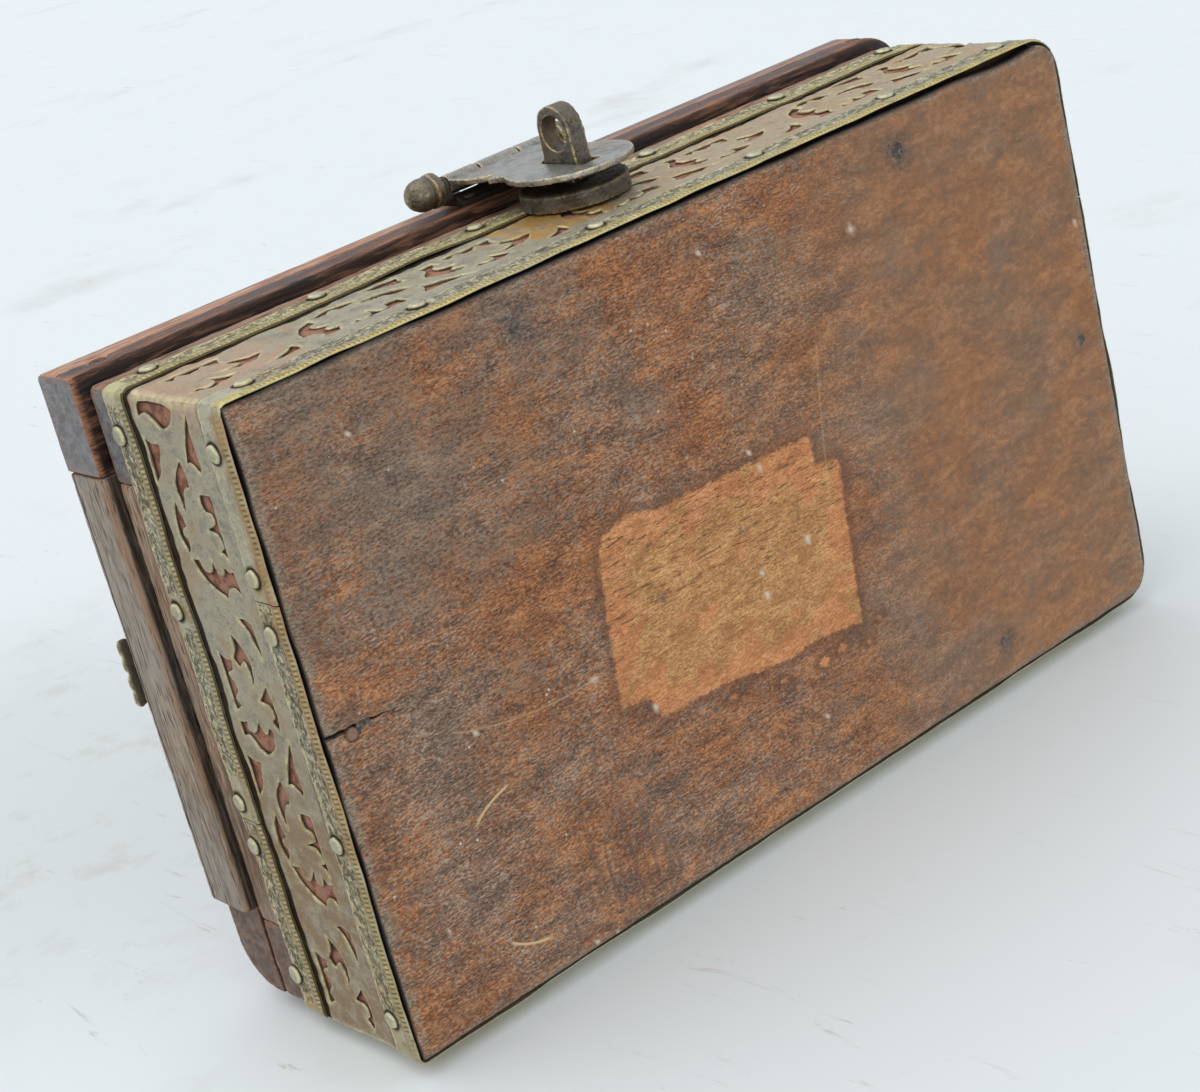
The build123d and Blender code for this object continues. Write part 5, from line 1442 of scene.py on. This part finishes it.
def eased_front(points):
    """Rounds the lid's upper front edge over, as years of hands have."""
    moved = points.copy()
    past_y = np.maximum(lid_low[1] + lid_round - points[:, 1], 0)
    past_z = np.maximum(points[:, 2] - lid_high[2] + lid_round, 0)
    share = np.minimum(1, lid_round / np.maximum(np.hypot(past_y, past_z), 1e-6))
    moved[:, 1] += past_y * (1 - share)
    moved[:, 2] -= past_z * (1 - share)
    return moved


wood_voxel = 0.7
wood_warp = 0.16
# the height of the seam under the case's boards and under the lid's
seam_heights = {"wood_case": case_low[2] + 1.0, "wood_lid": case_top + 1.0}
for node, look, slot, grain, reshape in (
        ("front_board", "front_wood", "wood_case", "X", None),
        ("back_board", "front_wood", "wood_case", "X", None),
        ("left_board", "end_wood", "wood_case", "Y", None),
        ("right_board", "end_wood", "wood_case", "Y", None),
        ("lid_front_rail", "lid_front_wood", "wood_lid", "X", eased_front),
        ("lid_back_rail", "lid_wood", "wood_lid", "X", eased_front),
        ("lid_left_rail", "lid_end_wood", "wood_lid", "Y", eased_front),
        ("lid_right_rail", "lid_end_wood", "wood_lid", "Y", eased_front),
        ("lid_top_panel", "lid_wood", "wood_lid", "X", None)):
    worn_piece(node, look, wood_voxel, smoothing=2, warping=wood_warp, dents=0.04, dent_size=3.0,
               grain=grain, dark_below=seam_heights[slot], reshape=reshape)


# ---------------------------------------------------------------- latch, hasp, hinges and strap
staple_low, staple_high = span("latch_staple")
strap_high = span("lid_strap")[1]
bracket_high = span("hasp_bracket")[1]
lid_side = span("lid_right_rail")[1][0]
eye_inset = 6.0                 # from the staple's outer end to the middle of its eye
eye_middle = (staple_low[1] + eye_inset, (staple_low[2] + staple_high[2]) / 2)
latch_voxel, hinge_voxel, strap_voxel = 0.22, 0.25, 0.35
pin_room = 2.4                  # the thickened pin stands out of the solid one's box by less than this


def spread(points, middle, wider):
    """Moves points straight out from a line along X, by as much as wider says for their distance."""
    off = points[:, 1:] - middle
    away = np.maximum(np.linalg.norm(off, axis=1), 1e-6)
    moved = points.copy()
    moved[:, 1:] = middle + off * (1 + wider(away) / away)[:, None]
    return moved


def worn_eye(points):
    """Widens the staple's eye where the padlock has rubbed it."""
    return spread(points, eye_middle, lambda away: 0.9 * (1 - smoothstep(3.2, 5.1, away)))


def strap_overhang(points):
    """Thins the strap where it stands out past the lid's sides."""
    past = np.maximum(np.abs(points[:, 0]) - lid_side, 0)
    moved = points.copy()
    thin = smoothstep(0.0, 0.6, past)
    moved[:, 0] -= np.sign(points[:, 0]) * past * 0.5
    moved[:, 2] = strap_high[2] - (strap_high[2] - points[:, 2]) * (1 - 0.5 * thin)
    return moved


def low_collar(points):
    """Sets the collar's face back from the hasp's plate."""
    moved = points.copy()
    moved[:, 1] = collar_high[1] + (points[:, 1] - collar_high[1]) * 0.84
    return moved


pin_low, pin_high = span("hasp_pin")
pin_middle = (pin_low[1:] + pin_high[1:]) / 2


def thick_stem(points):
    """Thickens the pin where it shows, between the hasp's knuckles and its finials."""
    along = np.abs(points[:, 0] - latch_x)
    behind = smoothstep(0.2, 1.2, points[:, 1] - pin_middle[0])
    swell = 0.8 * smoothstep(15.0, 15.2, along + 0.8 * behind) * smoothstep(17.4, 17.2, along)
    moved = spread(points, pin_middle, lambda away: swell * smoothstep(0.4, 1.2, away))
    moved[:, 1] += 1.9 * swell * behind
    return moved


def filled_bracket(points):
    """Thickens the bracket behind the hasp's knuckles, a dark fill painted as shade to close the gap there.
    """
    moved = points.copy()
    y = points[:, 1] - bracket_high[1]
    face = smoothstep(-1.6, -1.1, y) * (y < -0.9)
    above = points[:, 2] - pin_middle[1]
    moved[:, 1] -= face * (1.5 - 0.27 * np.maximum(above, 0)) * smoothstep(-3.4, -0.6, above)
    return moved


def under_hasp(points):
    """Painted shade on everything behind the hasp's plate."""
    return smoothstep(pin_middle[0] + 2.1, pin_middle[0] + 2.4, points[:, 1])


def knuckle_shade(points):
    """Painted shade on the side of the hasp's knuckles that faces the lid."""
    return smoothstep(pin_middle[0] + 0.7, pin_middle[0] + 1.5, points[:, 1])


def collar_shade(points):
    """Painted shade on the collar: a little all over, thickest on its outer face."""
    return 0.3 + 0.6 * smoothstep(collar_low[1] + 1.5, collar_low[1] + 1.0, points[:, 1])


def strap_shade(points):
    """Painted shade on the strap's sides, below its face."""
    return 0.85 * smoothstep(strap_high[2] - 0.4, strap_high[2] - 0.55, points[:, 2])


# node, look, change of shape, and dirt and painted shade
metal = [("latch_staple", "latch", worn_eye, None), ("hasp_plate", "plate", None, knuckle_shade),
         ("hasp_left_finial", "latch", None, None), ("hasp_right_finial", "latch", None, None),
         ("latch_collar", "latch", low_collar, collar_shade),
         ("hasp_bracket", "plate", filled_bracket, under_hasp),
         ("hasp_pin", "bracket", thick_stem, None)]
for node, look, reshape, dirt_and_shade in metal:
    worn_piece(node, look, latch_voxel, smoothing=5, dents=0.05, dent_size=2.6,
               reshape=reshape, dirt_and_shade=dirt_and_shade, room=pin_room if node == "hasp_pin" else 0.0)
for node in ("staple_rove", "left_hinge_case_leaf", "right_hinge_case_leaf", "left_hinge_lid_leaf",
             "right_hinge_lid_leaf", "left_hinge_pin", "right_hinge_pin"):
    worn_piece(node, "latch", hinge_voxel, smoothing=3, dents=0.03, dent_size=2.6)
worn_piece("lid_strap", "edging", strap_voxel, smoothing=3, dents=0.06, dent_size=3.0,
           reshape=strap_overhang, dirt_and_shade=strap_shade, chasing=0.5)


# ---------------------------------------------------------------- floor, lights and camera
def floor_look(name, way):
    """A pale floor with faint scratches, brown smudges and a painted shadow.  It is clear from behind, and
    while it doesn't face the given way, so that it hides no opened lid."""
    look = Look(name, roughness=0.6, specular=0.3)
    smudge = look.span(look.noise(95.0, detail=6.0, roughness=0.6), 0.56, 0.8)
    scratch = look.noise(7.0, (1, 1, 9), detail=6.0, roughness=0.8, twist=1.5)
    colour = look.mix(smudge * 0.4, (226, 232, 233), (186, 180, 168))
    colour = look.mix(look.span(scratch, 0.61, 0.69, 0.0, 0.4), colour, (170, 156, 140))
    # a painted shadow beside the chest's left end, with mud smudges in it
    away = look.vector("SUBTRACT", look.place, (-95.0, 76.0, 235.0))
    shadow_patch = look.span(look.length(away), 190.0, 40.0) * look.span(smudge, -0.2, 0.8, 0.55, 1.0)
    colour = look.mix(shadow_patch * 0.75, colour, (196, 200, 198))
    mud = look.span(look.noise(21.0, detail=6.0, roughness=0.7, shift=5.0), 0.52, 0.66)
    look.finish(look.mix(mud * shadow_patch * 0.45, colour, (176, 162, 140)))
    geometry = look.node("ShaderNodeNewGeometry")
    level = look.number("ShaderNodeVectorMath", {0: geometry.outputs["True Normal"], 1: way}, "Value",
                        operation="DOT_PRODUCT")
    facing = look.math("GREATER_THAN", level, 0.5) - geometry.outputs["Backfacing"]
    clear = look.node("ShaderNodeBsdfTransparent")
    mixed = look.node("ShaderNodeMixShader", {0: facing, 1: clear.outputs[0], 2: look.shader.outputs[0]})
    output = next(node for node in look.tree.nodes if node.type == "OUTPUT_MATERIAL")
    look.feed(output.inputs["Surface"], mixed.outputs[0])
    return look.material


def floor(name, corners, way):
    """A wide sheet of floor facing one way, outside the object, that neither lights nor shades it."""
    mesh = new_mesh(name, corners, [(0, 1, 2, 3)])
    mesh.materials.append(floor_look(name, way))
    made = bpy.data.objects.new(name, mesh)
    bpy.context.scene.collection.objects.link(made)
    made.visible_shadow = made.visible_diffuse = made.visible_glossy = False
    return made


# the chest lies on its back, so this floor turns with the lid
floor_reach = 4000.0
floor_square = [(floor_reach * a, floor_reach * b) for a, b in ((-1, -1), (1, -1), (1, 1), (-1, 1))]
behind_y = cad_box[1][1] / MM + 0.1
lying_on = floor("floor_behind", [(x, behind_y, z) for x, z in floor_square], (0, -1, 0))
lid_body = frame["bodies"]["lid"]
lying_on.parent = lid_body
lying_on.matrix_parent_inverse = lid_body.matrix_world.inverted()
# the floor it stands on in views from above, which keeps no light off the underside
below_z = -0.15
standing_on = floor("floor_below", [(x, y, below_z) for x, y in floor_square], (0, 0, 1))
standing_on.visible_transmission = False


def soft_sun(name, towards, strength, width):
    """A broad soft light from a direction, the same strength everywhere."""
    lamp = bpy.data.lights.new(name, "SUN")
    lamp.energy = strength
    lamp.angle = math.radians(width)
    light = bpy.data.objects.new(name, lamp)
    light.rotation_euler = Vector(towards).to_track_quat("Z", "Y").to_euler()
    bpy.context.scene.collection.objects.link(light)
    return light


soft_sun("window", (-0.22, -0.92, 0.3), 1.05, 70)
soft_sun("room", (-0.35, -0.5, -0.8), 1.05, 90)

world = bpy.data.worlds.new("pale_room")
bpy.context.scene.world = world
world.use_nodes = True
world_nodes, world_links = world.node_tree.nodes, world.node_tree.links
# the light that the room gives, and the brighter room that the camera and reflections see
room, seen = world_nodes["Background"], world_nodes.new("ShaderNodeBackground")
for background, colour, strength in ((room, (242, 246, 252), 0.66), (seen, (238, 243, 250), 1.0)):
    background.inputs["Color"].default_value = srgb(*colour)
    background.inputs["Strength"].default_value = strength
rays = world_nodes.new("ShaderNodeLightPath")
either = world_nodes.new("ShaderNodeMath")
either.operation = "MAXIMUM"
both = world_nodes.new("ShaderNodeMixShader")
for output, socket in ((rays.outputs["Is Camera Ray"], either.inputs[0]),
                       (rays.outputs["Is Glossy Ray"], either.inputs[1]), (either.outputs[0], both.inputs[0]),
                       (room.outputs[0], both.inputs[1]), (seen.outputs[0], both.inputs[2]),
                       (both.outputs[0], world_nodes["World Output"].inputs["Surface"])):
    world_links.new(output, socket)
bpy.context.scene.view_settings.view_transform = "Standard"

# the camera that was fitted to the photograph
camera_place = Vector((-0.32863, -0.19249, -0.39840))
camera_ahead = Vector((0.54444, 0.34690, 0.76371))
camera_roll = math.radians(14.54)
camera_data = bpy.data.cameras.new("camera")
camera_data.lens = 75.39
camera = bpy.data.objects.new("camera", camera_data)
bpy.context.scene.collection.objects.link(camera)
ahead = camera_ahead.normalized()
level_up = Vector((0, -1, 0)) - camera_ahead * camera_ahead.dot(Vector((0, -1, 0)))
up = Matrix.Rotation(camera_roll, 3, ahead) @ level_up.normalized()
turn = Matrix((ahead.cross(up), up, -ahead)).transposed()
camera.matrix_world = Matrix.Translation(camera_place) @ turn.to_4x4()
bpy.context.scene.camera = camera
